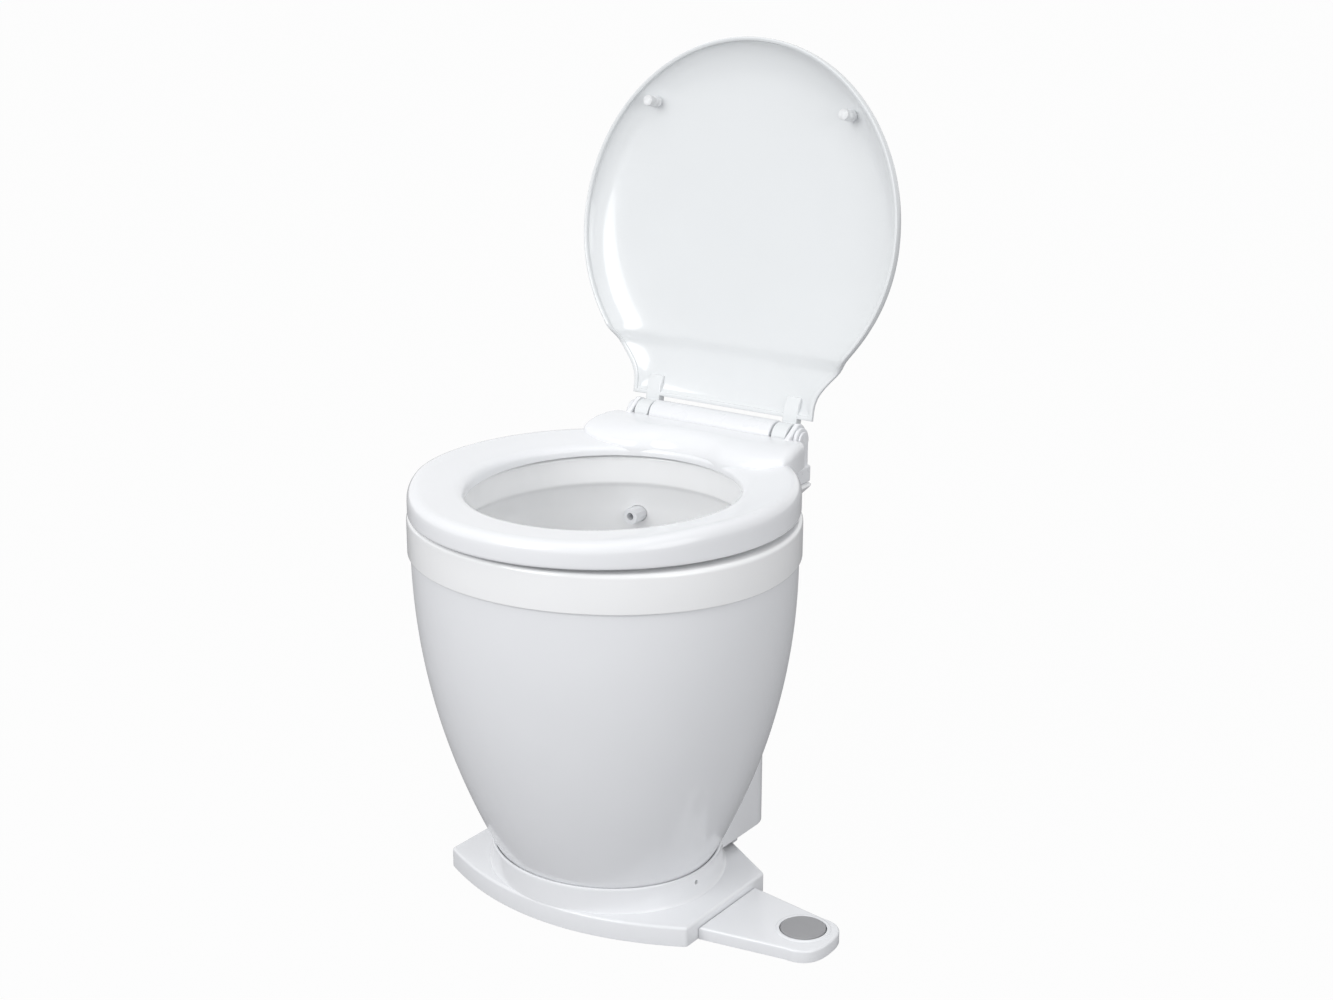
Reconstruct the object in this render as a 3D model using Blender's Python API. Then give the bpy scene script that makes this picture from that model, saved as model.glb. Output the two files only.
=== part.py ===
"""Electric toilet worked by a foot switch, with a household-size seat and a closing lid.

Metres, +Z up. The front faces -Y and the foot switch is at +X. The origin is in the middle
of the plinth's underside. The lid is modelled open and the seat is modelled down.
"""
import math

import bmesh
import bpy
from mathutils import Vector

# Clearances shared by all pieces
GAP = 0.0003
OVERRUN = 0.01
BORE_CLEARANCE = 0.0005

# Faces round the large oval shells and round small turned pieces
OVAL_SEGMENTS = 40
PIPE_SEGMENTS = 20
PIN_SEGMENTS = 12

# Oval casing: half width, reach to the front and reach to the rear of its centre line
OVAL_CENTRE_Y = -0.008
SHELL_HALF_WIDTH = 0.1865
SHELL_FRONT = 0.1665
SHELL_REAR = 0.1925
SHELL_FOOT_HALF_WIDTH = 0.1122
SHELL_FOOT_SHIFT = 0.004
SHELL_WALL = 0.0035
SHELL_CURVE_POWER = 2.1
SHELL_LEVELS = 8
SHELL_TOP_Z = 0.3447
SHELL_LIP_HEIGHT = 0.0093
SHELL_LIP_WALL = 0.003
SHELL_LIP_CLEARANCE = 0.0015
REAR_WINDOW_HALF_WIDTH = 0.077
REAR_WINDOW_LOW = 0.026
REAR_WINDOW_HIGH = 0.170

# Plinth with the raised collar that holds the casing's foot
PLINTH_HEIGHT = 0.020
PLINTH_HALF_WIDTH = 0.143
PLINTH_CORNER_Y = -0.069
PLINTH_FRONT_SAG = 0.039
PLINTH_FRONT_STEPS = 14
PLINTH_SIDE_END_Y = 0.066
PLINTH_TAIL_HALF_WIDTH = 0.0625
PLINTH_TAIL_START_Y = 0.1165
PLINTH_REAR_Y = 0.1450
PLINTH_EDGE_ROUND = 0.003
PLINTH_POCKET_DEPTH = 0.016
PLINTH_WALL = 0.006
PLINTH_RIB = 0.010
FLOOR_BOSS_RADIUS = 0.030
COLLAR_TOP_Z = 0.045
COLLAR_WALL = 0.003
COLLAR_FLARE = 0.004
COLLAR_CLEARANCE = 0.0006
COLLAR_OPENING_Y = 0.020
CABLE_HOLE_X = 0.045
CABLE_HOLE_Y = 0.112
CABLE_HOLE_RADIUS = 0.006
CABLE_SLOT_Y = 0.008
CABLE_SLOT_TOP_Z = 0.0078
CABLE_SLOT_WIDTH = 0.008

# Bowl in one piece with the rim band that overhangs the casing
BAND_OVERHANG = 0.0030
BAND_WALL = 0.008
BAND_LOW_Z = 0.345
BAND_TOP_Z = 0.382
BAND_EDGE_ROUND = 0.004
BAND_CHAMFER = 0.002
GROOVE_TOP_Z = 0.374
RIM_SIDE_LEDGE = 0.0475
RIM_FRONT_LEDGE = 0.0395
RIM_REAR_LEDGE = 0.0495
RIM_HALF_WIDTH = SHELL_HALF_WIDTH - RIM_SIDE_LEDGE
RIM_FRONT = SHELL_FRONT - RIM_FRONT_LEDGE
RIM_REAR = SHELL_REAR - RIM_REAR_LEDGE
RIM_BEAD_WIDTH = 0.007
RIM_BEAD_TOP_Z = 0.390
RIM_BEAD_ROUND = 0.0028
RIM_LIP_LOW_Z = 0.362
RIM_UNDERCUT = 0.0035
BOWL_WALL_TOP_Z = 0.348
BOWL_WALL = 0.008
BOWL_SPREAD_SHARE = 1.08
BOWL_CURVE_POWER = 2.2
BOWL_CURVE_ROOT = 0.6
BOWL_LEVELS = 6
OUTLET_Y = 0.005
OUTLET_RADIUS = 0.028
OUTLET_WALL = 0.006
OUTLET_THROAT_Z = 0.136
OUTLET_LOW_Z = 0.118
PLATFORM_HALF_WIDTH = 0.1085
PLATFORM_FRONT_Y = 0.11
PLATFORM_REAR_Y = 0.2015
PLATFORM_CORNER = 0.008
PLATFORM_LOW_Z = 0.367
PLATFORM_CHAMFER = 0.010
PLATFORM_EDGE_Z = 0.378
PLATFORM_INSET_SHARE = 0.75

# Hinge axis shared by the seat and the lid, and the pieces along it
AXIS_Y = 0.188
AXIS_Z = 0.4265
BARREL_RADIUS = 0.0155
BARREL_HALF_LENGTH = 0.0725
LUG_INNER_X = 0.0745
LUG_OUTER_X = 0.0910
LUG_RADIUS = 0.0145
SHOULDER_INNER_X = 0.0928
SHOULDER_OUTER_X = 0.0980
SHOULDER_RADIUS = 0.0155
UPRIGHT_INNER_X = 0.0985
UPRIGHT_OUTER_X = 0.1025
BRACKET_OUTER_X = 0.1060
BRACKET_INNER_X = 0.0840
UPRIGHT_RADIUS = 0.0120
PIN_RADIUS = 0.004
HINGE_CAP_RADIUS = 0.0085
HINGE_CAP_THICKNESS = 0.0022
BRACKET_FRONT_Y = 0.1755
BRACKET_REAR_Y = 0.2005
BRACKET_BASE_TOP_Z = 0.3995
HINGE_BOLT_X = 0.0925
HINGE_BOLT_Y = 0.1870
HINGE_BOLT_RADIUS = 0.0025
HINGE_BOLT_HEAD_RADIUS = 0.0045
HINGE_BOLT_HEAD_HEIGHT = 0.004
HINGE_BOLT_LOW_Z = 0.346
HINGE_NUT_RADIUS = 0.009
HINGE_NUT_HEIGHT = 0.008

# Seat ring with the raised deck at its rear
LIFT_START_Y = -0.125
LIFT_END_Y = 0.130
RIM_LIFT = 0.0095
SEAT_TOP_LIFT = 0.0080
SEAT_LIFT_START_Y = -0.160
SEAT_LIFT_END_Y = -0.060
SEAT_EDGE_LIFT = 0.0030
SEAT_HALF_WIDTH = 0.185
SEAT_FRONT = 0.185
SEAT_REAR = 0.186
SEAT_LOW_Z = 0.3866
SEAT_TOP_Z = 0.4105
SEAT_EDGE_TOP_Z = 0.4075
SEAT_OPENING_HALF_WIDTH = 0.130
SEAT_OPENING_FRONT = 0.134
SEAT_OPENING_REAR = 0.127
SEAT_OUTER_ROUND = 0.009
SEAT_INNER_ROUND = 0.010
SEAT_INNER_DROP = 0.006
SEAT_LIP_LOW_Z = 0.3925
SEAT_RECESS_WIDTH = 0.010
SEAT_RECESS_REAR_WIDTH = 0.020
DECK_TOP_Z = 0.4295
DECK_LOW_Z = 0.4045
DECK_HALF_WIDTH = 0.1185
DECK_FRONT_Y = 0.1290
DECK_FRONT_RUN = 0.0230
DECK_SIDE_RUN = 0.0120
DECK_LEVELS = 6
DECK_X_SHARES = (0, 0.25, 0.475, 0.742, 0.967, 1, 0.975, 0.933)
DECK_Y_SHARES = (1, 0.973, 0.891, 0.876, 0.953, 1.039, 1.163, 1.457)
DECK_RUN_SHARES = (1, 1.087, 1.391, 1.739, 1.522, 1.13, 0.565, 0)
DECK_NARROW_SHARES = (0, 0, 0, 0.31, 0.862, 1.07, 0.897, 0.552)
DECK_FOOT_SHARES = (0.1, 0.1, 0.15, 0.35, 0.5, 0.5, 0.4, 0.3)
ARM_DEPTH_BELOW_AXIS = 0.010
ARM_LENGTH = 0.020
SEAT_BUFFER_OFFSET = 0.026
SEAT_BUFFER_ANGLE = math.radians(44.8)
SEAT_BUFFER_RADIUS = 0.008

# Lid, measured from the hinge axis along the closed lid
LID_OPEN_DEGREES = 100
LID_SIDE_MARGIN = 0.001
LID_HALF_WIDTH = SEAT_HALF_WIDTH - LID_SIDE_MARGIN
LID_CENTRE = 0.196
LID_FRONT = 0.189
LID_REAR = 0.176
LID_NECK_HALF_WIDTH = 0.108
LID_NECK_END = 0.065
LID_NECK_FADE = 0.090
LID_TAIL = 0.0190
LID_BLEND_POWER = 8
LID_FRONT_STEPS = 11
LID_REAR_STEPS = 12
LID_TOP = 0.0140
LID_SKIRT = 0.0040
LID_OUTER_INSETS = (0.0003, 0, 0.004, 0.014, 0.034, 0.060)
LID_OUTER_SHARES = (0, 0.32, 0.64, 0.87, 0.99, 1.04)
LID_INNER_INSETS = (0.060, 0.040, 0.021, 0.010, LID_SKIRT, LID_SKIRT)
LID_INNER_SHARES = (0.87, 0.82, 0.68, 0.46, 0.2, 0)
LID_SKIRT_LOW = -0.0070
LID_SKIRT_HIGH = 0.0045
LID_SKIRT_STEP_START = 0.085
LID_SKIRT_STEP_END = 0.068
LUG_REACH = 0.034
LUG_LOW = 0.0042
LUG_HIGH = 0.0132
LID_BUFFER_INSET = 0.0211
LID_BUFFER_ANGLE = math.radians(44.4)
LID_BUFFER_RADIUS = 0.0055
LID_BUFFER_CLEARANCE = 0.0030

# Rear cover over the valve, the control box and the pipes
COVER_HALF_WIDTH = 0.090
COVER_REAR_Y = 0.166
COVER_FRONT_Y = 0.020
COVER_LOW_Z = 0.028
COVER_TOP_Z = 0.205
COVER_CORNER = 0.030
COVER_CORNER_STEPS = 5
COVER_WALL = 0.003
COVER_EDGE_ROUND = 0.006
COVER_SCREW_X = 0.050
COVER_SCREW_Z = 0.182
COVER_SCREW_RADIUS = 0.002
COVER_SCREW_HEAD_RADIUS = 0.005
COVER_SCREW_HEAD_HEIGHT = 0.0022
COVER_SCREW_LENGTH = 0.0165

# Screws through the collar into the casing's foot
SHELL_SCREW_Y = -0.013
SHELL_SCREW_Z = 0.035
SHELL_SCREW_RADIUS = 0.002
SHELL_SCREW_LENGTH = 0.016

# Foot switch housing, button and microswitch
SWITCH_ROOT_X = 0.1436
SWITCH_CENTRE_Y = -0.001
SWITCH_ROOT_HALF_WIDTH = 0.049
SWITCH_TIP_HALF_WIDTH = 0.0345
SWITCH_SHOULDER_X = 0.2290
SWITCH_END_X = 0.2585
SWITCH_TIP_POWER = 2.6
SWITCH_TIP_STEPS = 12
SWITCH_HEIGHT = 0.0125
SWITCH_WALL = 0.0025
SWITCH_EDGE_ROUND = 0.0025
SWITCH_LIP_WIDTH = 0.004
SWITCH_LIP_HEIGHT = 0.001
BASE_PLATE_TOP_Z = 0.0015
BUTTON_X = 0.2250
BUTTON_Y = 0.0045
BUTTON_RADIUS = 0.0215
BUTTON_BORE_CLEARANCE = 0.0007
BUTTON_TOP_Z = 0.0150
BUTTON_EDGE_Z = 0.0137
BUTTON_DOME_SHARE = 0.55
BUTTON_FLANGE_TOP_Z = 0.0097
BUTTON_ROOF_Z = 0.0115
BUTTON_FLANGE_LOW_Z = 0.0087
BUTTON_FLANGE_RADIUS = 0.0235
BUTTON_RECESS_RADIUS = 0.0185
BUTTON_STEM_RADIUS = 0.0025
BUTTON_STEM_LOW_Z = 0.0083
MICROSWITCH_LENGTH = 0.020
MICROSWITCH_WIDTH = 0.0104
MICROSWITCH_LOW_Z = 0.0018
MICROSWITCH_TOP_Z = 0.0058
PLUNGER_RADIUS = 0.0013
PLUNGER_LOW_Z = 0.0045
SPRING_RADIUS = 0.0046
SPRING_WIRE_RADIUS = 0.0004
SPRING_TURNS = 3
SPRING_POINTS_PER_TURN = 8

# Macerator pump under the bowl, with its motor along +X
PUMP_Y = OUTLET_Y
PUMP_Z = 0.064
CHAMBER_RADIUS = 0.036
CHAMBER_BORE = 0.031
CHAMBER_HALF_LENGTH = 0.036
CHAMBER_BACK_WALL = 0.0047
INLET_COLLAR_RADIUS = 0.034
INLET_COLLAR_BORE = 0.024
INLET_COLLAR_TOP_Z = 0.112
FRONT_PLATE_THICKNESS = 0.0042
SEAL_RADIUS = 0.0095
SHAFT_RADIUS = 0.004
SHAFT_START_X = -0.026
SHAFT_END_MARGIN = 0.0197
SHAFT_END_X = SHELL_FOOT_HALF_WIDTH - SHAFT_END_MARGIN
IMPELLER_X = -0.012
IMPELLER_WIDTH = 0.012
IMPELLER_HUB_RADIUS = 0.010
IMPELLER_RADIUS = 0.0285
IMPELLER_VANES = 6
IMPELLER_VANE_THICKNESS = 0.004
CHOPPER_X = -0.022
CHOPPER_THICKNESS = 0.0025
CHOPPER_HUB_RADIUS = 0.0085
CHOPPER_LENGTH = 0.054
CHOPPER_WIDTH = 0.010
MOTOR_RADIUS = 0.029
MOTOR_START_X = 0.0365
MOTOR_FRONT_WALL = 0.0075
MOTOR_END_MARGIN = 0.0162
MOTOR_CAP_LENGTH = 0.006
MOTOR_END_X = SHELL_FOOT_HALF_WIDTH - MOTOR_END_MARGIN - MOTOR_CAP_LENGTH
MOTOR_BORE = 0.022
MOTOR_CAP_END_X = SHELL_FOOT_HALF_WIDTH - MOTOR_END_MARGIN
MOTOR_CAP_RECESS = 0.0042
ARMATURE_RADIUS = 0.018
ARMATURE_START_X = 0.048
ARMATURE_MARGIN = 0.007
ARMATURE_END_X = MOTOR_END_X - ARMATURE_MARGIN
CRADLE_HALF_WIDTH = 0.022
CRADLE_TOP_Z = 0.046
CHAMBER_CRADLE_START_X = 0.004
MOTOR_CRADLE_REACH = 0.034
MOTOR_CRADLE_START_X = MOTOR_END_X - MOTOR_CRADLE_REACH
CRADLE_LENGTH = 0.022

# Rubber sleeve between bowl and pump, with its two clamps
SLEEVE_BORE = 0.0346
SLEEVE_WALL = 0.0032
SLEEVE_LOW_Z = 0.1045
SLEEVE_TOP_Z = 0.1275
CLAMP_WALL = 0.0018
CLAMP_WIDTH = 0.005
CLAMP_MARGIN = 0.0015

# Discharge line to the rear
DISCHARGE_X = -0.018
DISCHARGE_Z = 0.052
DISCHARGE_RADIUS = 0.016
DISCHARGE_BORE = 0.0125
DISCHARGE_STUB_END_Y = 0.090
JOKER_HOUSING_RADIUS = 0.021
JOKER_HOUSING_BORE = 0.0175
JOKER_HOUSING_END_Y = 0.136
JOKER_HOUSING_WALL = 0.005
JOKER_FLANGE_WIDTH = 0.004
JOKER_LIP_Y = 0.125
JOKER_LIP_RADIUS = 0.006
JOKER_WALL = 0.0018
SPIGOT_END_Y = 0.210
SPIGOT_BARBS = 3
SPIGOT_BARB_HEIGHT = 0.0015
SPIGOT_BARB_PITCH = 0.009

# Rinse water line: valve, coil, plunger, inlet barb, hose and nozzle
VALVE_X = 0.046
VALVE_Y = 0.137
VALVE_HALF_WIDTH = 0.016
VALVE_HALF_DEPTH = 0.0125
VALVE_LOW_Z = 0.085
VALVE_TOP_Z = 0.113
COIL_RADIUS = 0.0125
COIL_TOP_Z = 0.150
VALVE_PLUNGER_RADIUS = 0.004
VALVE_PLUNGER_LOW_Z = 0.1035
VALVE_PLUNGER_TOP_Z = 0.1440
VALVE_SEAT_DEPTH = 0.010
INLET_BARB_RADIUS = 0.0065
INLET_BARB_BORE = 0.004
INLET_BARB_Z = 0.095
INLET_BARB_END_Y = 0.198
BRACKET_PLATE = 0.003
HOSE_RADIUS = 0.006
NOZZLE_X = -0.058
NOZZLE_Z = 0.336
NOZZLE_RADIUS = 0.0085
NOZZLE_BORE = 0.004
NOZZLE_FRONT_Y = 0.116
NOZZLE_END_Y = 0.1515
NOZZLE_ELBOW_LOW_Z = 0.3235
NOZZLE_ELBOW_RADIUS = 0.0062
NOZZLE_ELBOW_BORE = 0.0034

# Control box and power gland
CONTROL_X = -0.049
CONTROL_Y = 0.137
CONTROL_HALF_WIDTH = 0.024
CONTROL_HALF_DEPTH = 0.015
CONTROL_LOW_Z = 0.100
CONTROL_TOP_Z = 0.160
CONTROL_EDGE_ROUND = 0.002
BRACKET_HALF_WIDTH = 0.012
GLAND_X = -0.060
GLAND_Z = 0.085
GLAND_RADIUS = 0.0080
GLAND_THREAD_RADIUS = 0.0055
GLAND_BORE = 0.0030
GLAND_LENGTH = 0.014
CABLE_RADIUS = 0.0022
ROUTE_STEPS = 3
SWITCH_CABLE_Z = 0.0039
SWITCH_ENTRY_Z = 0.120
MOTOR_ENTRY_Z = 0.142
MOTOR_LEAD_X = 0.076
VALVE_LEAD_OFFSET = 0.009

# Colours as red, green and blue
WHITE_CERAMIC = (0.90, 0.91, 0.92)
WHITE_PLASTIC = (0.88, 0.89, 0.90)
BUTTON_GREY = (0.36, 0.37, 0.38)
RUBBER_BLACK = (0.03, 0.03, 0.03)
RUBBER_WHITE = (0.80, 0.81, 0.82)
STEEL = (0.62, 0.62, 0.60)
BRONZE = (0.55, 0.36, 0.16)
MOTOR_BLACK = (0.05, 0.05, 0.055)
VALVE_BLUE = (0.08, 0.16, 0.36)
CABLE_BLACK = (0.02, 0.02, 0.02)


def clear_scene():
    """Remove whatever the scene holds."""
    for item in list(bpy.data.objects):
        bpy.data.objects.remove(item, do_unlink=True)


def finish(item, colour, roughness, metallic=0.0, smooth_degrees=35):
    """Give a piece its own material and smooth shading."""
    material = bpy.data.materials.new(item.name + "_material")
    material.use_nodes = True
    shader = material.node_tree.nodes["Principled BSDF"]
    shader.inputs["Base Color"].default_value = (*colour, 1.0)
    shader.inputs["Roughness"].default_value = roughness
    shader.inputs["Metallic"].default_value = metallic
    item.data.materials.clear()
    item.data.materials.append(material)
    if item.type == "MESH":
        item.data.shade_smooth()
        item.data.set_sharp_from_angle(angle=math.radians(smooth_degrees))
    return item


def link_mesh(name, bm):
    """Turn a bmesh into a named object with its faces pointing out."""
    bmesh.ops.recalc_face_normals(bm, faces=bm.faces)
    mesh = bpy.data.meshes.new(name)
    bm.to_mesh(mesh)
    bm.free()
    item = bpy.data.objects.new(name, mesh)
    bpy.context.scene.collection.objects.link(item)
    return item


def loft(name, rings, hollow=False):
    """Skin a stack of equal rings; a hollow stack closes on itself instead of having caps."""
    bm = bmesh.new()
    rows = [[bm.verts.new(point) for point in ring] for ring in rings]
    count = len(rows[0])
    pairs = list(zip(rows, rows[1:]))
    if hollow:
        pairs.append((rows[-1], rows[0]))
    else:
        bm.faces.new(rows[0])
        bm.faces.new(rows[-1])
    for low, high in pairs:
        for step in range(count):
            after = (step + 1) % count
            bm.faces.new((low[step], low[after], high[after], high[step]))
    return link_mesh(name, bm)


def bake(item):
    """Turn a piece's modifiers into its mesh."""
    graph = bpy.context.evaluated_depsgraph_get()
    mesh = bpy.data.meshes.new_from_object(item.evaluated_get(graph))
    old = item.data
    item.modifiers.clear()
    item.data = mesh
    bpy.data.meshes.remove(old)


def combine(item, tool, operation):
    """Join or cut a piece with a tool, and throw the tool away."""
    modifier = item.modifiers.new("combine", "BOOLEAN")
    modifier.operation = operation
    modifier.solver = "EXACT"
    modifier.object = tool
    bake(item)
    bpy.data.objects.remove(tool, do_unlink=True)
    return item


def cut(item, *tools):
    """Cut each tool out of a piece."""
    for tool in tools:
        combine(item, tool, "DIFFERENCE")
    return item


def join(item, *tools):
    """Fuse each tool to a piece."""
    for tool in tools:
        combine(item, tool, "UNION")
    return item


def soften(item, width, segments=2):
    """Round a piece's edges."""
    modifier = item.modifiers.new("soften", "BEVEL")
    modifier.width = width
    modifier.segments = segments
    modifier.limit_method = "ANGLE"
    bake(item)
    return item


def set_origin(item, point):
    """Move a piece's origin without moving the piece."""
    place = Vector(point)
    for vertex in item.data.vertices:
        vertex.co -= place
    item.location = place
    return item


def circle(centre, axis, radius, segments):
    """Points of a circle round an axis."""
    turn = Vector(axis).to_track_quat("Z", "Y")
    points = []
    for step in range(segments):
        angle = 2 * math.pi * step / segments
        spoke = Vector((radius * math.cos(angle), radius * math.sin(angle), 0))
        points.append(Vector(centre) + turn @ spoke)
    return points


def turned(name, start, axis, profile, hollow=False, segments=PIPE_SEGMENTS):
    """Turn a profile of (radius, distance) pairs round an axis through the start point."""
    along = Vector(axis).normalized()
    rings = []
    for radius, far in profile:
        rings.append(circle(Vector(start) + along * far, along, radius, segments))
    return loft(name, rings, hollow)


def rod(name, start, end, radius, segments=PIN_SEGMENTS):
    """Solid round bar between two points."""
    along = Vector(end) - Vector(start)
    return turned(name, start, along, [(radius, 0), (radius, along.length)], segments=segments)


def sleeve(name, start, end, outer, inner, segments=PIPE_SEGMENTS):
    """Round tube between two points."""
    along = Vector(end) - Vector(start)
    profile = [(outer, 0), (outer, along.length), (inner, along.length), (inner, 0)]
    return turned(name, start, along, profile, hollow=True, segments=segments)


def block(name, low, high):
    """Rectangular block between two corners."""
    corners = [(low[0], low[1]), (high[0], low[1]), (high[0], high[1]), (low[0], high[1])]
    return prism(name, corners, low[2], high[2])


def prism(name, outline, low_z, high_z):
    """Upright prism on an outline of (x, y) pairs."""
    return loft(name, [[Vector((x, y, z)) for x, y in outline] for z in (low_z, high_z)])


def oval(half_width, front, rear, z, centre_y=OVAL_CENTRE_Y):
    """Egg-shaped ring: two half ellipses that meet at the widest line."""
    points = []
    for step in range(OVAL_SEGMENTS):
        angle = 2 * math.pi * step / OVAL_SEGMENTS
        reach = rear if math.sin(angle) > 0 else front
        points.append(Vector((half_width * math.cos(angle), centre_y + reach * math.sin(angle), z)))
    return points


def lifted(ring, rise, start=LIFT_START_Y, end=LIFT_END_Y):
    """Raise a ring toward the hinge, from nothing at a start to the whole rise at an end."""
    return [Vector((x, y, z + rise * min(max((y - start) / (end - start), 0), 1))) for x, y, z in ring]


def ease(value):
    """Smooth step from 0 to 1."""
    clipped = min(max(value, 0.0), 1.0)
    return clipped * clipped * (3 - 2 * clipped)


def mirrored(outline):
    """Close a right-hand outline, given from front to rear, with its mirror image."""
    return outline + [(-x, y) for x, y in reversed(outline)]


def smooth_route(points, steps):
    """Curve through a route's points, with its first and last stretches left straight."""
    route = [points[0]]
    for first, second, third, fourth in zip(points, points[1:], points[2:], points[3:]):
        for step in range(steps):
            t = step / steps
            route.append(0.5 * (2 * second + (third - first) * t
                                + (2 * first - 5 * second + 4 * third - fourth) * t ** 2
                                + (3 * second - first - 3 * third + fourth) * t ** 3))
    return route + [points[-2], points[-1]]


def tube(name, route, radius, resolution=2):
    """Round tube with filled caps along a list of points."""
    curve = bpy.data.curves.new(name, "CURVE")
    curve.dimensions = "3D"
    curve.bevel_depth = radius
    curve.bevel_resolution = resolution
    curve.use_fill_caps = True
    spline = curve.splines.new("POLY")
    spline.points.add(len(route) - 1)
    for knot, place in zip(spline.points, route):
        knot.co = (*place, 1.0)
    item = bpy.data.objects.new(name, curve)
    bpy.context.scene.collection.objects.link(item)
    return item


def shell_oval(z, growth):
    """Ring of the casing's outer face at a height, grown outward by a distance."""
    share = (z - COLLAR_TOP_Z) / (SHELL_TOP_Z - COLLAR_TOP_Z)
    taper = (SHELL_HALF_WIDTH - SHELL_FOOT_HALF_WIDTH) * (1 - share) ** SHELL_CURVE_POWER
    scale = (SHELL_HALF_WIDTH - taper) / SHELL_HALF_WIDTH
    sizes = (SHELL_HALF_WIDTH, SHELL_FRONT, SHELL_REAR)
    centre_y = OVAL_CENTRE_Y + SHELL_FOOT_SHIFT * (1 - share)
    return oval(*[size * scale + growth for size in sizes], z, centre_y)


def shell_heights(low_z, high_z, count):
    """Heights of the casing's rings, closer together where it curves more."""
    return [low_z + (high_z - low_z) * (step / count) ** 1.2 for step in range(count + 1)]


def band_oval(inset, z):
    """Ring of the rim band, drawn in from its outer face."""
    growth = BAND_OVERHANG - inset
    return oval(SHELL_HALF_WIDTH + growth, SHELL_FRONT + growth, SHELL_REAR + growth, z)


def shell_solid(name, growth, low_z, high_z):
    """Solid copy of the casing's outer form, used as a cutter."""
    rings = [shell_oval(z, growth) for z in shell_heights(low_z, high_z, SHELL_LEVELS)]
    return loft(name, rings)


def plinth_outline(inset):
    """Plinth's plan: bowed front, straight sides, cut rear corners and a narrower tail."""
    half = PLINTH_HALF_WIDTH - inset
    corner_y = PLINTH_CORNER_Y + inset
    right = []
    for step in range(PLINTH_FRONT_STEPS // 2 + 1):
        share = 2 * step / PLINTH_FRONT_STEPS
        if share > 0:
            right.append((half * share, corner_y - PLINTH_FRONT_SAG * (1 - share ** 2)))
    right.append((half, PLINTH_SIDE_END_Y))
    right.append((PLINTH_TAIL_HALF_WIDTH - inset, PLINTH_TAIL_START_Y - inset / 2))
    right.append((PLINTH_TAIL_HALF_WIDTH - inset, PLINTH_REAR_Y - inset))
    return [(0, corner_y - PLINTH_FRONT_SAG)] + mirrored(right)


def collar_ring(flare, z):
    """Ring of the collar's outer face, which flares at the sides and the rear only."""
    share = SHELL_FOOT_HALF_WIDTH / SHELL_HALF_WIDTH
    grown = COLLAR_CLEARANCE + COLLAR_WALL
    front = SHELL_FRONT * share + grown
    rear = SHELL_REAR * share + grown
    centre_y = OVAL_CENTRE_Y + SHELL_FOOT_SHIFT
    return oval(SHELL_FOOT_HALF_WIDTH + grown + flare, front, rear + flare, z, centre_y)


def make_plinth():
    """Low plinth, hollow below between its ribs, with the flared collar on top."""
    levels = ((0, 0), (0, PLINTH_HEIGHT - PLINTH_EDGE_ROUND),
              (PLINTH_EDGE_ROUND / 3, PLINTH_HEIGHT - PLINTH_EDGE_ROUND / 3),
              (PLINTH_EDGE_ROUND, PLINTH_HEIGHT))
    rings = [[Vector((x, y, z)) for x, y in plinth_outline(inset)] for inset, z in levels]
    plinth = loft("plinth", rings)
    heights = (PLINTH_HEIGHT - COLLAR_WALL, PLINTH_HEIGHT, (PLINTH_HEIGHT * 2 + COLLAR_TOP_Z) / 3,
               COLLAR_TOP_Z - COLLAR_WALL / 3, COLLAR_TOP_Z)
    flares = (COLLAR_FLARE, COLLAR_FLARE, COLLAR_FLARE / 4, 0, -COLLAR_WALL / 3)
    collar = loft("collar", [collar_ring(flare, z) for flare, z in zip(flares, heights)])
    rear_half = COVER_HALF_WIDTH + COLLAR_CLEARANCE
    cut(collar, block("rear_opening", (-rear_half, COLLAR_OPENING_Y, COVER_LOW_Z - COLLAR_CLEARANCE),
                      (rear_half, PLINTH_REAR_Y, COLLAR_TOP_Z + OVERRUN)))
    join(plinth, collar)
    cut(plinth, shell_solid("foot_space", COLLAR_CLEARANCE, PLINTH_HEIGHT, COLLAR_TOP_Z + OVERRUN))
    near_x, far_x = PLINTH_RIB / 2, PLINTH_HALF_WIDTH - PLINTH_WALL
    for side in (-1, 1):
        front_low = (side * near_x, PLINTH_CORNER_Y + PLINTH_WALL)
        front_high = (side * far_x, -PLINTH_RIB / 2)
        rear_low = (side * near_x, PLINTH_RIB / 2)
        rear_high = (side * far_x, PLINTH_SIDE_END_Y - PLINTH_WALL / 2)
        tail_low = (side * near_x, PLINTH_SIDE_END_Y - PLINTH_WALL)
        tail_high = (side * (PLINTH_TAIL_HALF_WIDTH - PLINTH_WALL), PLINTH_REAR_Y - PLINTH_WALL)
        for low, high in ((front_low, front_high), (rear_low, rear_high), (tail_low, tail_high)):
            first, last = sorted((low[0], high[0]))
            pocket = block("pocket", (first, low[1], -OVERRUN), (last, high[1], PLINTH_POCKET_DEPTH))
            cut(plinth, pocket)
    boss = rod("boss", (0, 0, 0), (0, 0, PLINTH_HEIGHT - COLLAR_WALL / 2), FLOOR_BOSS_RADIUS, PIPE_SEGMENTS)
    join(plinth, boss)
    hole_end = (CABLE_HOLE_X, CABLE_HOLE_Y, PLINTH_HEIGHT + OVERRUN)
    hole = rod("hole", (CABLE_HOLE_X, CABLE_HOLE_Y, 0), hole_end, CABLE_HOLE_RADIUS)
    slot_low = (PLINTH_HALF_WIDTH - PLINTH_WALL - OVERRUN, CABLE_SLOT_Y - CABLE_SLOT_WIDTH / 2, -OVERRUN)
    slot_high = (PLINTH_HALF_WIDTH + OVERRUN, CABLE_SLOT_Y + CABLE_SLOT_WIDTH / 2, CABLE_SLOT_TOP_Z)
    cut(plinth, hole, block("slot", slot_low, slot_high))
    for side in (-1, 1):
        cut(plinth, shell_screw_bore(side))
    return finish(plinth, WHITE_PLASTIC, 0.25)


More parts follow.
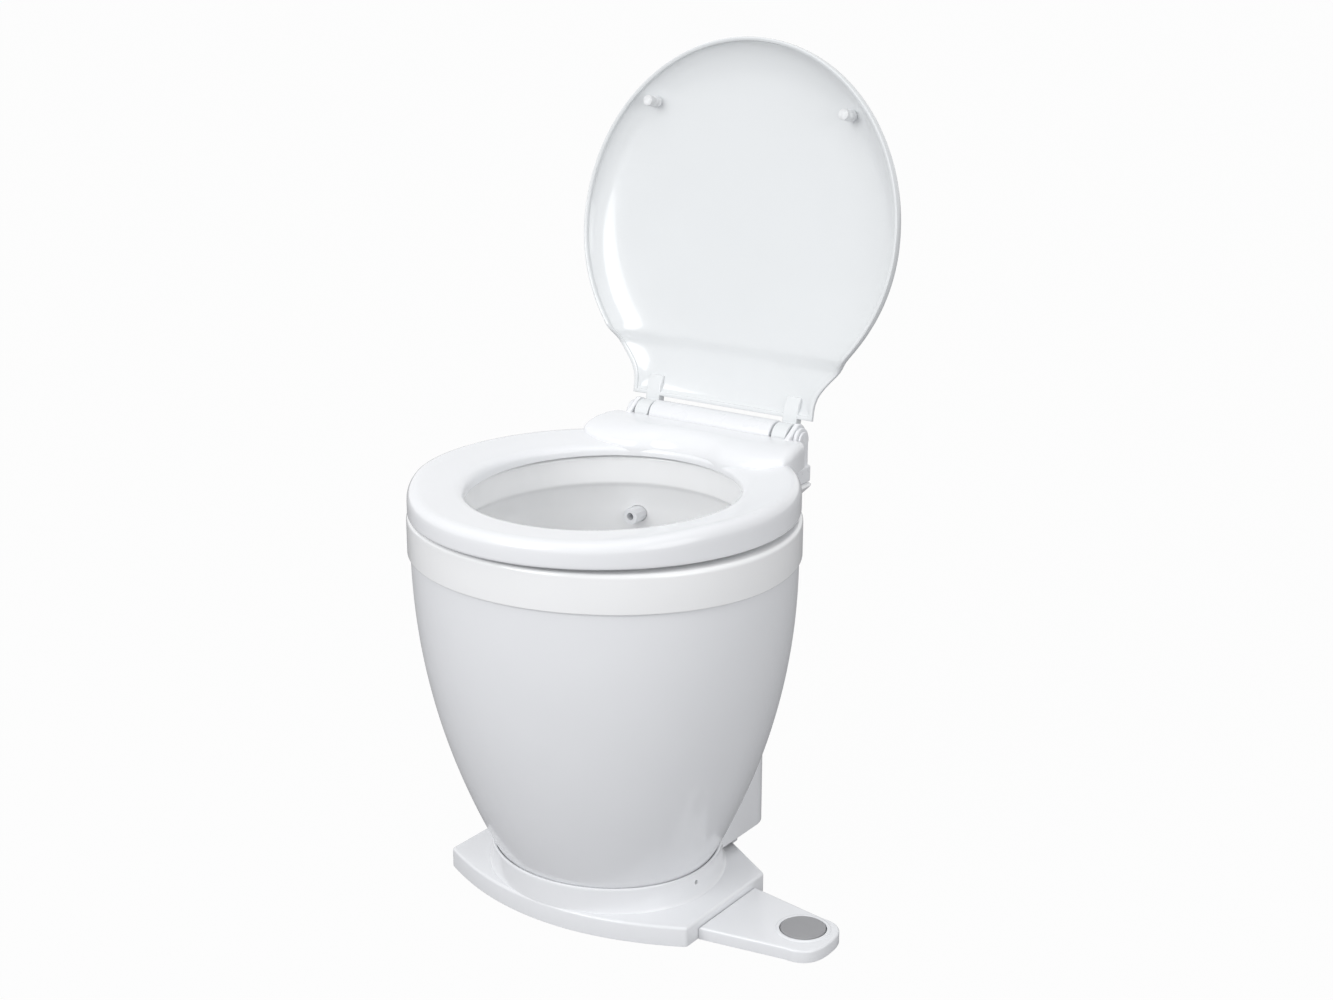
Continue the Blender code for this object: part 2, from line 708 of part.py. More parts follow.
def shell_screw_bore(side):
    """Cutter for the fixing screw at one side of the collar."""
    start = (side * (SHELL_FOOT_HALF_WIDTH - SHELL_SCREW_LENGTH), SHELL_SCREW_Y, SHELL_SCREW_Z)
    end = (side * (SHELL_FOOT_HALF_WIDTH + COLLAR_FLARE + OVERRUN), SHELL_SCREW_Y, SHELL_SCREW_Z)
    return rod("screw_bore", start, end, SHELL_SCREW_RADIUS + GAP)


def make_shell():
    """Thin oval casing from the collar up to the rim band."""
    heights = shell_heights(PLINTH_HEIGHT + GAP, SHELL_TOP_Z, SHELL_LEVELS)
    lip_inset = BAND_WALL + SHELL_LIP_CLEARANCE
    lip_top = SHELL_TOP_Z + SHELL_LIP_HEIGHT
    rings = [shell_oval(z, 0) for z in heights]
    rings += [band_oval(lip_inset, SHELL_TOP_Z), band_oval(lip_inset, lip_top)]
    rings += [band_oval(lip_inset + SHELL_LIP_WALL, lip_top)]
    rings += [band_oval(lip_inset + SHELL_LIP_WALL, SHELL_TOP_Z - SHELL_WALL)]
    rings += [shell_oval(z, -SHELL_WALL) for z in heights[-3::-2]]
    shell = loft("outer_shell", rings, hollow=True)
    window_low = (-REAR_WINDOW_HALF_WIDTH, OUTLET_Y + CHAMBER_RADIUS, REAR_WINDOW_LOW)
    window_high = (REAR_WINDOW_HALF_WIDTH, COVER_REAR_Y + OVERRUN, REAR_WINDOW_HIGH)
    cut(shell, block("window", window_low, window_high))
    for side in (-1, 1):
        start = (side * COVER_SCREW_X, COVER_FRONT_Y, COVER_SCREW_Z)
        end = (side * COVER_SCREW_X, COVER_REAR_Y, COVER_SCREW_Z)
        cut(shell, shell_screw_bore(side), rod("bore", start, end, COVER_SCREW_RADIUS + GAP))
    return finish(shell, WHITE_PLASTIC, 0.2)


def bowl_inner(share):
    """Height, size share and centre of the bowl's inner face, from its top to its throat."""
    z = BOWL_WALL_TOP_Z + (OUTLET_THROAT_Z - BOWL_WALL_TOP_Z) * share
    scale = BOWL_SPREAD_SHARE * (1 - share ** BOWL_CURVE_POWER) ** BOWL_CURVE_ROOT
    centre_y = OVAL_CENTRE_Y + (OUTLET_Y - OVAL_CENTRE_Y) * share
    return z, scale, centre_y


def bowl_ring(share, growth, drop=0):
    """Ring of the bowl's inner face, or of its outer face when grown and dropped."""
    z, scale, centre_y = bowl_inner(share)
    sizes = (RIM_HALF_WIDTH, RIM_FRONT, RIM_REAR)
    return oval(*[max(size * scale, OUTLET_RADIUS) + growth for size in sizes], z - drop, centre_y)


def make_bowl():
    """Bowl with its rim, outlet and the platform that carries the hinge."""
    shares = [step / (BOWL_LEVELS + 1) for step in range(BOWL_LEVELS + 1)]
    rim = (RIM_HALF_WIDTH, RIM_FRONT, RIM_REAR)
    outlet = [OUTLET_RADIUS] * 3
    outlet_outer = [OUTLET_RADIUS + OUTLET_WALL] * 3
    undercut = [size + RIM_UNDERCUT for size in rim]
    rings = [band_oval(BAND_CHAMFER, BAND_LOW_Z), band_oval(0, BAND_LOW_Z + BAND_CHAMFER)]
    rings += [band_oval(0, BAND_TOP_Z - BAND_EDGE_ROUND)]
    rings += [band_oval(BAND_EDGE_ROUND / 3, BAND_TOP_Z - BAND_EDGE_ROUND / 3)]
    rings += [band_oval(BAND_EDGE_ROUND, BAND_TOP_Z)]
    bead = [size + RIM_BEAD_WIDTH for size in rim]
    bead_round = RIM_BEAD_ROUND
    rings += [oval(*bead, BAND_TOP_Z), lifted(oval(*bead, RIM_BEAD_TOP_Z - bead_round), RIM_LIFT)]
    rings += [lifted(oval(*[size - bead_round for size in bead], RIM_BEAD_TOP_Z), RIM_LIFT)]
    rings += [lifted(oval(*[size + bead_round for size in rim], RIM_BEAD_TOP_Z), RIM_LIFT)]
    rings += [lifted(oval(*rim, RIM_BEAD_TOP_Z - bead_round), RIM_LIFT)]
    rings += [lifted(oval(*rim, RIM_LIP_LOW_Z), RIM_LIFT)]
    rings += [lifted(oval(*undercut, RIM_LIP_LOW_Z - RIM_UNDERCUT), RIM_LIFT)]
    rings += [bowl_ring(share, 0) for share in shares]
    rings += [oval(*outlet, OUTLET_THROAT_Z, OUTLET_Y), oval(*outlet, OUTLET_LOW_Z, OUTLET_Y)]
    rings += [oval(*outlet_outer, OUTLET_LOW_Z, OUTLET_Y)]
    rings += [oval(*outlet_outer, OUTLET_THROAT_Z - BOWL_WALL, OUTLET_Y)]
    rings += [bowl_ring(share, BOWL_WALL, BOWL_WALL / 2) for share in shares[::-2]]
    spread = [size * BOWL_SPREAD_SHARE + BOWL_WALL for size in rim]
    rings += [oval(*spread, GROOVE_TOP_Z), band_oval(BAND_WALL, GROOVE_TOP_Z)]
    rings += [band_oval(BAND_WALL, BAND_LOW_Z)]
    bowl = loft("bowl", rings, hollow=True)
    join(bowl, make_platform())
    nozzle_start = (NOZZLE_X, NOZZLE_FRONT_Y, NOZZLE_Z)
    nozzle_end = (NOZZLE_X, NOZZLE_END_Y, NOZZLE_Z)
    cut(bowl, rod("nozzle_hole", nozzle_start, nozzle_end, NOZZLE_RADIUS + GAP))
    for side in (-1, 1):
        low = (side * HINGE_BOLT_X, HINGE_BOLT_Y, PLATFORM_LOW_Z - OVERRUN)
        high = (side * HINGE_BOLT_X, HINGE_BOLT_Y, BAND_TOP_Z + OVERRUN)
        cut(bowl, rod("bolt_hole", low, high, HINGE_BOLT_RADIUS + BORE_CLEARANCE))
    return finish(bowl, WHITE_CERAMIC, 0.08)


def make_platform():
    """Flat shelf behind the band, open inside the band's own wall."""
    corner = PLATFORM_CORNER
    rings = []
    for drawn, z in ((PLATFORM_CHAMFER, PLATFORM_LOW_Z), (0, PLATFORM_EDGE_Z), (0, BAND_TOP_Z - GAP)):
        half, rear = PLATFORM_HALF_WIDTH - drawn, PLATFORM_REAR_Y - drawn
        right = [(half, PLATFORM_FRONT_Y)]
        for step in range(COVER_CORNER_STEPS):
            angle = math.pi / 2 * step / (COVER_CORNER_STEPS - 1)
            right.append((half - corner + corner * math.cos(angle),
                          rear - corner + corner * math.sin(angle)))
        rings.append([Vector((x, y, z)) for x, y in mirrored(right)])
    platform = loft("platform", rings)
    inset = BAND_WALL * PLATFORM_INSET_SHARE
    inside = loft("inside", [band_oval(inset, PLATFORM_LOW_Z - OVERRUN),
                             band_oval(inset, BAND_TOP_Z + OVERRUN)])
    return cut(platform, inside)


def deck_ring(share):
    """Ring of the seat's raised deck, which curves back and in above its foot."""
    height = math.sin(math.pi / 2 * share)
    rows = zip(DECK_X_SHARES, DECK_Y_SHARES, DECK_RUN_SHARES, DECK_NARROW_SHARES, DECK_FOOT_SHARES)
    right = []
    for across, along, run, narrow, foot in rows:
        risen = max(height - foot, 0) / (1 - foot)
        back = 1 - math.sqrt(1 - risen ** 2)
        right.append((DECK_HALF_WIDTH * across - DECK_SIDE_RUN * narrow * back,
                      DECK_FRONT_Y * along + DECK_FRONT_RUN * run * back))
    left = [(-x, y) for x, y in reversed(right[1:])]
    z = DECK_LOW_Z + (DECK_TOP_Z - DECK_LOW_Z) * height
    return [Vector((x, y, z)) for x, y in right + left]


def make_seat():
    """Seat ring, raised deck, and the two shoulders that turn on the hinge pins."""
    outer = (SEAT_HALF_WIDTH, SEAT_FRONT, SEAT_REAR)
    inner = (SEAT_OPENING_HALF_WIDTH, SEAT_OPENING_FRONT, SEAT_OPENING_REAR)
    recess = (RIM_HALF_WIDTH + SEAT_RECESS_WIDTH, RIM_FRONT + SEAT_RECESS_WIDTH,
              RIM_REAR + SEAT_RECESS_REAR_WIDTH)
    wide, tight, drop = SEAT_OUTER_ROUND, SEAT_INNER_ROUND, SEAT_INNER_DROP
    outside = [(0, SEAT_TOP_Z - wide), (-wide / 3, SEAT_TOP_Z - wide / 3), (-wide, SEAT_TOP_Z)]
    inside = [(tight, SEAT_EDGE_TOP_Z), (tight / 3, SEAT_EDGE_TOP_Z - drop / 3), (0, SEAT_EDGE_TOP_Z - drop)]
    rings = [oval(*outer, SEAT_LOW_Z, 0)]
    for growth, z in outside:
        ring = oval(*[size + growth for size in outer], z, 0)
        rings.append(lifted(ring, SEAT_TOP_LIFT, SEAT_LIFT_START_Y, SEAT_LIFT_END_Y))
    for growth, z in inside:
        rings.append(lifted(oval(*[size + growth for size in inner], z, 0), SEAT_EDGE_LIFT))
    rings.append(lifted(oval(*inner, SEAT_LIP_LOW_Z, 0), RIM_LIFT))
    rings += [lifted(oval(*recess, SEAT_LIP_LOW_Z), RIM_LIFT), oval(*recess, SEAT_LOW_Z)]
    seat = loft("seat", rings, hollow=True)
    shares = [step / (DECK_LEVELS - 1) for step in range(DECK_LEVELS)]
    deck = loft("deck", [deck_ring(share) for share in shares])
    deck_rear_y = AXIS_Y - BARREL_RADIUS - GAP
    for piece in (seat, deck):
        cut(piece, block("behind", (-SEAT_HALF_WIDTH, deck_rear_y, SEAT_LOW_Z - OVERRUN),
                         (SEAT_HALF_WIDTH, AXIS_Y + OVERRUN, DECK_TOP_Z + OVERRUN)))
    for side in (-1, 1):
        ends = sorted((side * SHOULDER_INNER_X, side * SHOULDER_OUTER_X))
        knuckle = rod("knuckle", (ends[0], AXIS_Y, AXIS_Z), (ends[1], AXIS_Y, AXIS_Z),
                      SHOULDER_RADIUS, PIPE_SEGMENTS)
        arm = block("arm", (ends[0], AXIS_Y - ARM_LENGTH, AXIS_Z - ARM_DEPTH_BELOW_AXIS),
                    (ends[1], AXIS_Y, DECK_TOP_Z - GAP))
        join(deck, join(knuckle, arm))
    join(seat, deck)
    cut(seat, rod("pin_bore", (-UPRIGHT_OUTER_X, AXIS_Y, AXIS_Z), (UPRIGHT_OUTER_X, AXIS_Y, AXIS_Z),
                  PIN_RADIUS + BORE_CLEARANCE))
    return finish(set_origin(seat, (0, AXIS_Y, AXIS_Z)), WHITE_PLASTIC, 0.15)


def lid_half_width(reach, inset):
    """Half width of the lid at a distance from the hinge axis."""
    belly_reach = (LID_FRONT if reach > LID_CENTRE else LID_REAR) - inset
    off_centre = min(abs(reach - LID_CENTRE) / belly_reach, 1.0)
    belly = (LID_HALF_WIDTH - inset) * math.sqrt(1 - off_centre ** 2)
    fade = 1 - ease((reach - LID_NECK_END) / LID_NECK_FADE)
    neck = (LID_NECK_HALF_WIDTH - inset) * fade
    return (belly ** LID_BLEND_POWER + neck ** LID_BLEND_POWER) ** (1 / LID_BLEND_POWER)


def lid_height(reach, share):
    """Height at a share of the way from the skirt's edge, which steps up over the deck, to the top."""
    step = ease((LID_SKIRT_STEP_START - reach) / (LID_SKIRT_STEP_START - LID_SKIRT_STEP_END))
    skirt = LID_SKIRT_LOW + (LID_SKIRT_HIGH - LID_SKIRT_LOW) * step
    return skirt + (LID_TOP - skirt) * share


def lid_ring(inset, share):
    """Ring of the closed lid about the hinge axis, drawn in from its outline."""
    reaches = [LID_CENTRE + (LID_FRONT - inset) * math.cos(math.pi / 2 * step / LID_FRONT_STEPS)
               for step in range(LID_FRONT_STEPS)]
    tail = LID_TAIL + inset
    for step in range(LID_REAR_STEPS + 1):
        reaches.append(LID_CENTRE + (tail - LID_CENTRE) * step / LID_REAR_STEPS)
    right = [(lid_half_width(reach, inset), -reach) for reach in reaches[1:]]
    outline = [(0, -reaches[0])] + mirrored(right)
    return [Vector((x, y, lid_height(-y, share))) for x, y in outline]


def place_on_lid(item):
    """Put a piece made about the closed hinge axis onto the open lid."""
    item.location = (0, AXIS_Y, AXIS_Z)
    item.rotation_euler = (-math.radians(LID_OPEN_DEGREES), 0, 0)
    return item


def make_lid():
    """Shallow hollow lid with two lugs that reach round the hinge pins."""
    rings = [lid_ring(*ring) for ring in zip(LID_INNER_INSETS, LID_INNER_SHARES)]
    rings += [lid_ring(*ring) for ring in zip(LID_OUTER_INSETS, LID_OUTER_SHARES)]
    lid = loft("lid", rings)
    for side in (-1, 1):
        first, last = sorted((side * LUG_INNER_X, side * LUG_OUTER_X))
        lug = rod("lug", (first, 0, 0), (last, 0, 0), LUG_RADIUS, PIPE_SEGMENTS)
        join(lug, block("lug_arm", (first, -LUG_REACH, LUG_LOW), (last, 0, LUG_HIGH)))
        join(lid, lug)
    cut(lid, rod("pin_bore", (-UPRIGHT_OUTER_X, 0, 0), (UPRIGHT_OUTER_X, 0, 0), PIN_RADIUS + BORE_CLEARANCE))
    return finish(place_on_lid(lid), WHITE_PLASTIC, 0.15)


def lid_ceiling(reach, inset):
    """Height of the lid's hollow underside at a distance from the axis and an inset from its edge."""
    rows = list(zip(LID_INNER_INSETS, LID_INNER_SHARES))
    for (far, high), (near, low) in zip(rows, rows[1:]):
        if near < inset <= far:
            return lid_height(reach, low + (high - low) * (inset - near) / (far - near))
    return lid_height(reach, LID_INNER_SHARES[0])


def make_lid_buffer(side, name):
    """Round stop inside the lid that rests on the seat when the lid is closed."""
    reach = LID_CENTRE + (LID_FRONT - LID_BUFFER_INSET) * math.cos(LID_BUFFER_ANGLE)
    across = side * (LID_HALF_WIDTH - LID_BUFFER_INSET) * math.sin(LID_BUFFER_ANGLE)
    seat_top = SEAT_TOP_Z + LID_BUFFER_CLEARANCE - AXIS_Z
    start = (across, -reach, lid_ceiling(reach, LID_BUFFER_INSET - LID_BUFFER_RADIUS) - GAP)
    end = (across, -reach, seat_top + GAP)
    return finish(place_on_lid(rod(name, start, end, LID_BUFFER_RADIUS)), RUBBER_WHITE, 0.5)


def make_seat_buffer(side, end, name):
    """Round pad under the seat that rests on the rim."""
    rim = RIM_FRONT if end < 0 else RIM_REAR
    x = side * (RIM_HALF_WIDTH + SEAT_BUFFER_OFFSET) * math.cos(SEAT_BUFFER_ANGLE)
    y = end * (rim + SEAT_BUFFER_OFFSET) * math.sin(SEAT_BUFFER_ANGLE)
    pad = rod(name, (x, y, BAND_TOP_Z + GAP), (x, y, SEAT_LOW_Z - GAP), SEAT_BUFFER_RADIUS)
    return finish(set_origin(pad, (0, AXIS_Y, AXIS_Z)), RUBBER_WHITE, 0.6)


def make_barrel():
    """Round damper housing on the hinge pin, between the lid's lugs."""
    barrel = sleeve("damper_barrel", (-BARREL_HALF_LENGTH, AXIS_Y, AXIS_Z),
                    (BARREL_HALF_LENGTH, AXIS_Y, AXIS_Z), BARREL_RADIUS, PIN_RADIUS + GAP)
    return finish(set_origin(barrel, (0, AXIS_Y, AXIS_Z)), WHITE_PLASTIC, 0.2)


def make_bracket(side, name):
    """Hinge bracket: a foot on the bowl's platform and an upright for the pin."""
    first, last = sorted((side * BRACKET_INNER_X, side * BRACKET_OUTER_X))
    bracket = block(name, (first, BRACKET_FRONT_Y, BAND_TOP_Z + GAP),
                    (last, BRACKET_REAR_Y, BRACKET_BASE_TOP_Z))
    inner, outer = sorted((side * UPRIGHT_INNER_X, side * UPRIGHT_OUTER_X))
    join(bracket, block("upright", (inner, AXIS_Y - UPRIGHT_RADIUS, BRACKET_BASE_TOP_Z - GAP * 2),
                        (outer, AXIS_Y + UPRIGHT_RADIUS, AXIS_Z)))
    join(bracket, rod("eye", (inner, AXIS_Y, AXIS_Z), (outer, AXIS_Y, AXIS_Z), UPRIGHT_RADIUS,
                      PIPE_SEGMENTS))
    middle = side * (UPRIGHT_INNER_X + UPRIGHT_OUTER_X) / 2
    cut(bracket, rod("pin_bore", (middle - OVERRUN, AXIS_Y, AXIS_Z), (middle + OVERRUN, AXIS_Y, AXIS_Z),
                     PIN_RADIUS + GAP))
    bolt = Vector((side * HINGE_BOLT_X, HINGE_BOLT_Y, 0))
    head_low = BRACKET_BASE_TOP_Z - HINGE_BOLT_HEAD_HEIGHT - GAP * 2
    shank = rod("bolt_bore", bolt + Vector((0, 0, BAND_TOP_Z - OVERRUN)),
                bolt + Vector((0, 0, BRACKET_BASE_TOP_Z + OVERRUN)), HINGE_BOLT_RADIUS + GAP)
    head = rod("head_bore", bolt + Vector((0, 0, head_low)),
               bolt + Vector((0, 0, BRACKET_BASE_TOP_Z + OVERRUN)), HINGE_BOLT_HEAD_RADIUS + BORE_CLEARANCE)
    return finish(cut(bracket, shank, head), WHITE_PLASTIC, 0.25)


def make_hinge_pin():
    """Steel pin through both uprights, the shoulders, the lugs and the barrel."""
    start = (-UPRIGHT_OUTER_X, AXIS_Y, AXIS_Z)
    return finish(rod("hinge_pin", start, (UPRIGHT_OUTER_X, AXIS_Y, AXIS_Z), PIN_RADIUS), STEEL, 0.3, 1.0)


def make_hinge_cap(side, name):
    """Disc that covers the end of the hinge pin."""
    start = (side * (UPRIGHT_OUTER_X + GAP), AXIS_Y, AXIS_Z)
    edge = HINGE_CAP_THICKNESS / 3
    profile = [(HINGE_CAP_RADIUS, 0), (HINGE_CAP_RADIUS, HINGE_CAP_THICKNESS - edge),
               (HINGE_CAP_RADIUS - edge, HINGE_CAP_THICKNESS)]
    return finish(turned(name, start, (side, 0, 0), profile), WHITE_PLASTIC, 0.2)


def make_hinge_bolt(side, name):
    """Bolt with a round head that holds a hinge bracket to the platform."""
    low = (side * HINGE_BOLT_X, HINGE_BOLT_Y, HINGE_BOLT_LOW_Z)
    head_top = BRACKET_BASE_TOP_Z - GAP - HINGE_BOLT_LOW_Z
    head_low = head_top - HINGE_BOLT_HEAD_HEIGHT
    profile = [(HINGE_BOLT_RADIUS, 0), (HINGE_BOLT_RADIUS, head_low),
               (HINGE_BOLT_HEAD_RADIUS, head_low), (HINGE_BOLT_HEAD_RADIUS, head_top)]
    return finish(turned(name, low, (0, 0, 1), profile, segments=PIN_SEGMENTS), STEEL, 0.3, 1.0)


def make_hinge_nut(side, name):
    """Round hand nut under the platform."""
    top = PLATFORM_LOW_Z - GAP
    start = (side * HINGE_BOLT_X, HINGE_BOLT_Y, top - HINGE_NUT_HEIGHT)
    end = (side * HINGE_BOLT_X, HINGE_BOLT_Y, top)
    nut = sleeve(name, start, end, HINGE_NUT_RADIUS, HINGE_BOLT_RADIUS + GAP, PIN_SEGMENTS)
    return finish(nut, WHITE_PLASTIC, 0.4)


def cover_outline(inset, front_y):
    """Rear cover's plan, with round rear corners."""
    corner = COVER_CORNER - inset
    right = [(COVER_HALF_WIDTH - inset, front_y)]
    for step in range(COVER_CORNER_STEPS + 1):
        angle = math.pi / 2 * step / COVER_CORNER_STEPS
        right.append((COVER_HALF_WIDTH - COVER_CORNER + corner * math.cos(angle),
                      COVER_REAR_Y - COVER_CORNER + corner * math.sin(angle)))
    return mirrored(right)


def make_rear_cover():
    """Cover behind the casing, open below and toward the casing."""
    levels = ((0, COVER_LOW_Z), (0, COVER_TOP_Z - COVER_EDGE_ROUND),
              (COVER_EDGE_ROUND / 3, COVER_TOP_Z - COVER_EDGE_ROUND / 3), (COVER_EDGE_ROUND, COVER_TOP_Z))
    rings = [[Vector((x, y, z)) for x, y in cover_outline(inset, COVER_FRONT_Y)] for inset, z in levels]
    cover = loft("rear_cover", rings)
    hollow = prism("hollow", cover_outline(COVER_WALL, COVER_FRONT_Y - OVERRUN), COVER_LOW_Z - OVERRUN,
                   COVER_TOP_Z - COVER_EDGE_ROUND)
    cut(cover, hollow, shell_solid("casing", COLLAR_CLEARANCE, PLINTH_HEIGHT, COVER_TOP_Z + OVERRUN))
    openings = ((DISCHARGE_X, DISCHARGE_Z, DISCHARGE_RADIUS + SPIGOT_BARB_HEIGHT),
                (VALVE_X, INLET_BARB_Z, INLET_BARB_RADIUS + SPIGOT_BARB_HEIGHT),
                (GLAND_X, GLAND_Z, GLAND_THREAD_RADIUS),
                (COVER_SCREW_X, COVER_SCREW_Z, COVER_SCREW_RADIUS),
                (-COVER_SCREW_X, COVER_SCREW_Z, COVER_SCREW_RADIUS))
    for x, z, radius in openings:
        start = (x, COVER_REAR_Y - COVER_WALL - OVERRUN, z)
        cut(cover, rod("opening", start, (x, COVER_REAR_Y + OVERRUN, z), radius + GAP, PIPE_SEGMENTS))
    return finish(cover, WHITE_PLASTIC, 0.25)


def make_cover_screw(side, name):
    """Screw that holds the rear cover to the casing."""
    start = (side * COVER_SCREW_X, COVER_REAR_Y + GAP + COVER_SCREW_HEAD_HEIGHT, COVER_SCREW_Z)
    head = COVER_SCREW_HEAD_HEIGHT
    profile = [(COVER_SCREW_HEAD_RADIUS - head / 3, 0), (COVER_SCREW_HEAD_RADIUS, head / 3),
               (COVER_SCREW_HEAD_RADIUS, head), (COVER_SCREW_RADIUS, head),
               (COVER_SCREW_RADIUS, head + COVER_SCREW_LENGTH)]
    return finish(turned(name, start, (0, -1, 0), profile, segments=PIN_SEGMENTS), STEEL, 0.3, 1.0)


def make_shell_screw(side, name):
    """Headless screw in the collar's side that locks the casing's foot."""
    outer = SHELL_FOOT_HALF_WIDTH
    start = (side * (outer - SHELL_SCREW_LENGTH + GAP), SHELL_SCREW_Y, SHELL_SCREW_Z)
    return finish(rod(name, start, (side * outer, SHELL_SCREW_Y, SHELL_SCREW_Z), SHELL_SCREW_RADIUS),
                  STEEL, 0.35, 1.0)


def switch_outline(inset):
    """Foot switch housing's plan: a tapering tongue with a rounded tip."""
    right_end = SWITCH_END_X - SWITCH_SHOULDER_X - inset
    half = SWITCH_TIP_HALF_WIDTH - inset
    power = 2 / SWITCH_TIP_POWER
    root = SWITCH_ROOT_HALF_WIDTH - inset
    points = [(SWITCH_ROOT_X + inset, SWITCH_CENTRE_Y - root)]
    for step in range(SWITCH_TIP_STEPS + 1):
        angle = math.pi * step / SWITCH_TIP_STEPS - math.pi / 2
        along = abs(math.cos(angle)) ** power
        across = math.copysign(abs(math.sin(angle)) ** power, math.sin(angle))
        points.append((SWITCH_SHOULDER_X + right_end * along, SWITCH_CENTRE_Y + half * across))
    points.append((SWITCH_ROOT_X + inset, SWITCH_CENTRE_Y + root))
    return points


def make_switch_housing():
    """Hollow tongue at the plinth's side with a raised lip round the button."""
    levels = ((0, 0), (0, SWITCH_HEIGHT - SWITCH_EDGE_ROUND),
              (SWITCH_EDGE_ROUND / 3, SWITCH_HEIGHT - SWITCH_EDGE_ROUND / 3),
              (SWITCH_EDGE_ROUND, SWITCH_HEIGHT))
    rings = [[Vector((x, y, z)) for x, y in switch_outline(inset)] for inset, z in levels]
    housing = loft("footswitch_housing", rings)
    bore = BUTTON_RADIUS + BUTTON_BORE_CLEARANCE
    lip = rod("lip", (BUTTON_X, BUTTON_Y, SWITCH_HEIGHT - SWITCH_WALL / 2),
              (BUTTON_X, BUTTON_Y, SWITCH_HEIGHT + SWITCH_LIP_HEIGHT), bore + SWITCH_LIP_WIDTH,
              PIPE_SEGMENTS)
    join(housing, lip)
    inside = prism("inside", switch_outline(SWITCH_WALL), -OVERRUN, SWITCH_HEIGHT - SWITCH_WALL)
    hole = rod("hole", (BUTTON_X, BUTTON_Y, 0), (BUTTON_X, BUTTON_Y, SWITCH_HEIGHT + OVERRUN), bore,
               PIPE_SEGMENTS)
    slot_low = (SWITCH_ROOT_X - OVERRUN, CABLE_SLOT_Y - CABLE_SLOT_WIDTH / 2, BASE_PLATE_TOP_Z)
    slot_high = (SWITCH_ROOT_X + OVERRUN, CABLE_SLOT_Y + CABLE_SLOT_WIDTH / 2, CABLE_SLOT_TOP_Z)
    cut(housing, inside, hole, block("slot", slot_low, slot_high))
    return finish(housing, WHITE_PLASTIC, 0.25)


def make_base_plate():
    """Plate that closes the foot switch housing from below."""
    outline = switch_outline(SWITCH_WALL + GAP)
    return finish(prism("footswitch_base_plate", outline, 0, BASE_PLATE_TOP_Z), WHITE_PLASTIC, 0.5)


def make_button():
    """Domed grey foot button with its flange and stem."""
    low = (BUTTON_X, BUTTON_Y, 0)
    dome_z = BUTTON_EDGE_Z + (BUTTON_TOP_Z - BUTTON_EDGE_Z) * (1 - BUTTON_DOME_SHARE ** 2)
    edge = (BUTTON_TOP_Z - BUTTON_EDGE_Z) / 2
    profile = [(BUTTON_STEM_RADIUS, BUTTON_STEM_LOW_Z), (BUTTON_STEM_RADIUS, BUTTON_ROOF_Z),
               (BUTTON_RECESS_RADIUS, BUTTON_ROOF_Z), (BUTTON_RECESS_RADIUS, BUTTON_FLANGE_LOW_Z),
               (BUTTON_FLANGE_RADIUS, BUTTON_FLANGE_LOW_Z), (BUTTON_FLANGE_RADIUS, BUTTON_FLANGE_TOP_Z),
               (BUTTON_RADIUS, BUTTON_FLANGE_TOP_Z), (BUTTON_RADIUS, BUTTON_EDGE_Z - edge),
               (BUTTON_RADIUS - edge, BUTTON_EDGE_Z), (BUTTON_RADIUS * BUTTON_DOME_SHARE, dome_z),
               (BUTTON_RADIUS * (1 - BUTTON_DOME_SHARE) / 2, BUTTON_TOP_Z)]
    button = turned("foot_button", low, (0, 0, 1), profile)
    return finish(set_origin(button, low), BUTTON_GREY, 0.4)


def make_microswitch():
    """Microswitch body with the bore that its plunger slides in."""
    half_length, half_width = MICROSWITCH_LENGTH / 2, MICROSWITCH_WIDTH / 2
    body = block("microswitch_body", (BUTTON_X - half_length, BUTTON_Y - half_width, MICROSWITCH_LOW_Z),
                 (BUTTON_X + half_length, BUTTON_Y + half_width, MICROSWITCH_TOP_Z))
    bore = rod("bore", (BUTTON_X, BUTTON_Y, MICROSWITCH_LOW_Z + GAP), (BUTTON_X, BUTTON_Y, BUTTON_TOP_Z),
               PLUNGER_RADIUS + GAP)
    return finish(cut(body, bore), MOTOR_BLACK, 0.5)


def make_switch_plunger():
    """Small plunger that the button's stem pushes down."""
    plunger = rod("switch_plunger", (BUTTON_X, BUTTON_Y, PLUNGER_LOW_Z),
                  (BUTTON_X, BUTTON_Y, BUTTON_STEM_LOW_Z - GAP), PLUNGER_RADIUS)
    return finish(set_origin(plunger, (BUTTON_X, BUTTON_Y, 0)), RUBBER_WHITE, 0.4)


def make_button_spring():
    """Helical spring between the microswitch and the button's roof."""
    low = MICROSWITCH_TOP_Z + SPRING_WIRE_RADIUS + GAP
    high = BUTTON_ROOF_Z - SPRING_WIRE_RADIUS - GAP
    count = SPRING_TURNS * SPRING_POINTS_PER_TURN
    route = []
    for step in range(count + 1):
        angle = 2 * math.pi * step / SPRING_POINTS_PER_TURN
        across = SPRING_RADIUS * math.cos(angle)
        along = SPRING_RADIUS * math.sin(angle)
        route.append(Vector((BUTTON_X + across, BUTTON_Y + along, low + (high - low) * step / count)))
    return finish(tube("button_spring", route, SPRING_WIRE_RADIUS, 0), STEEL, 0.3, 1.0)


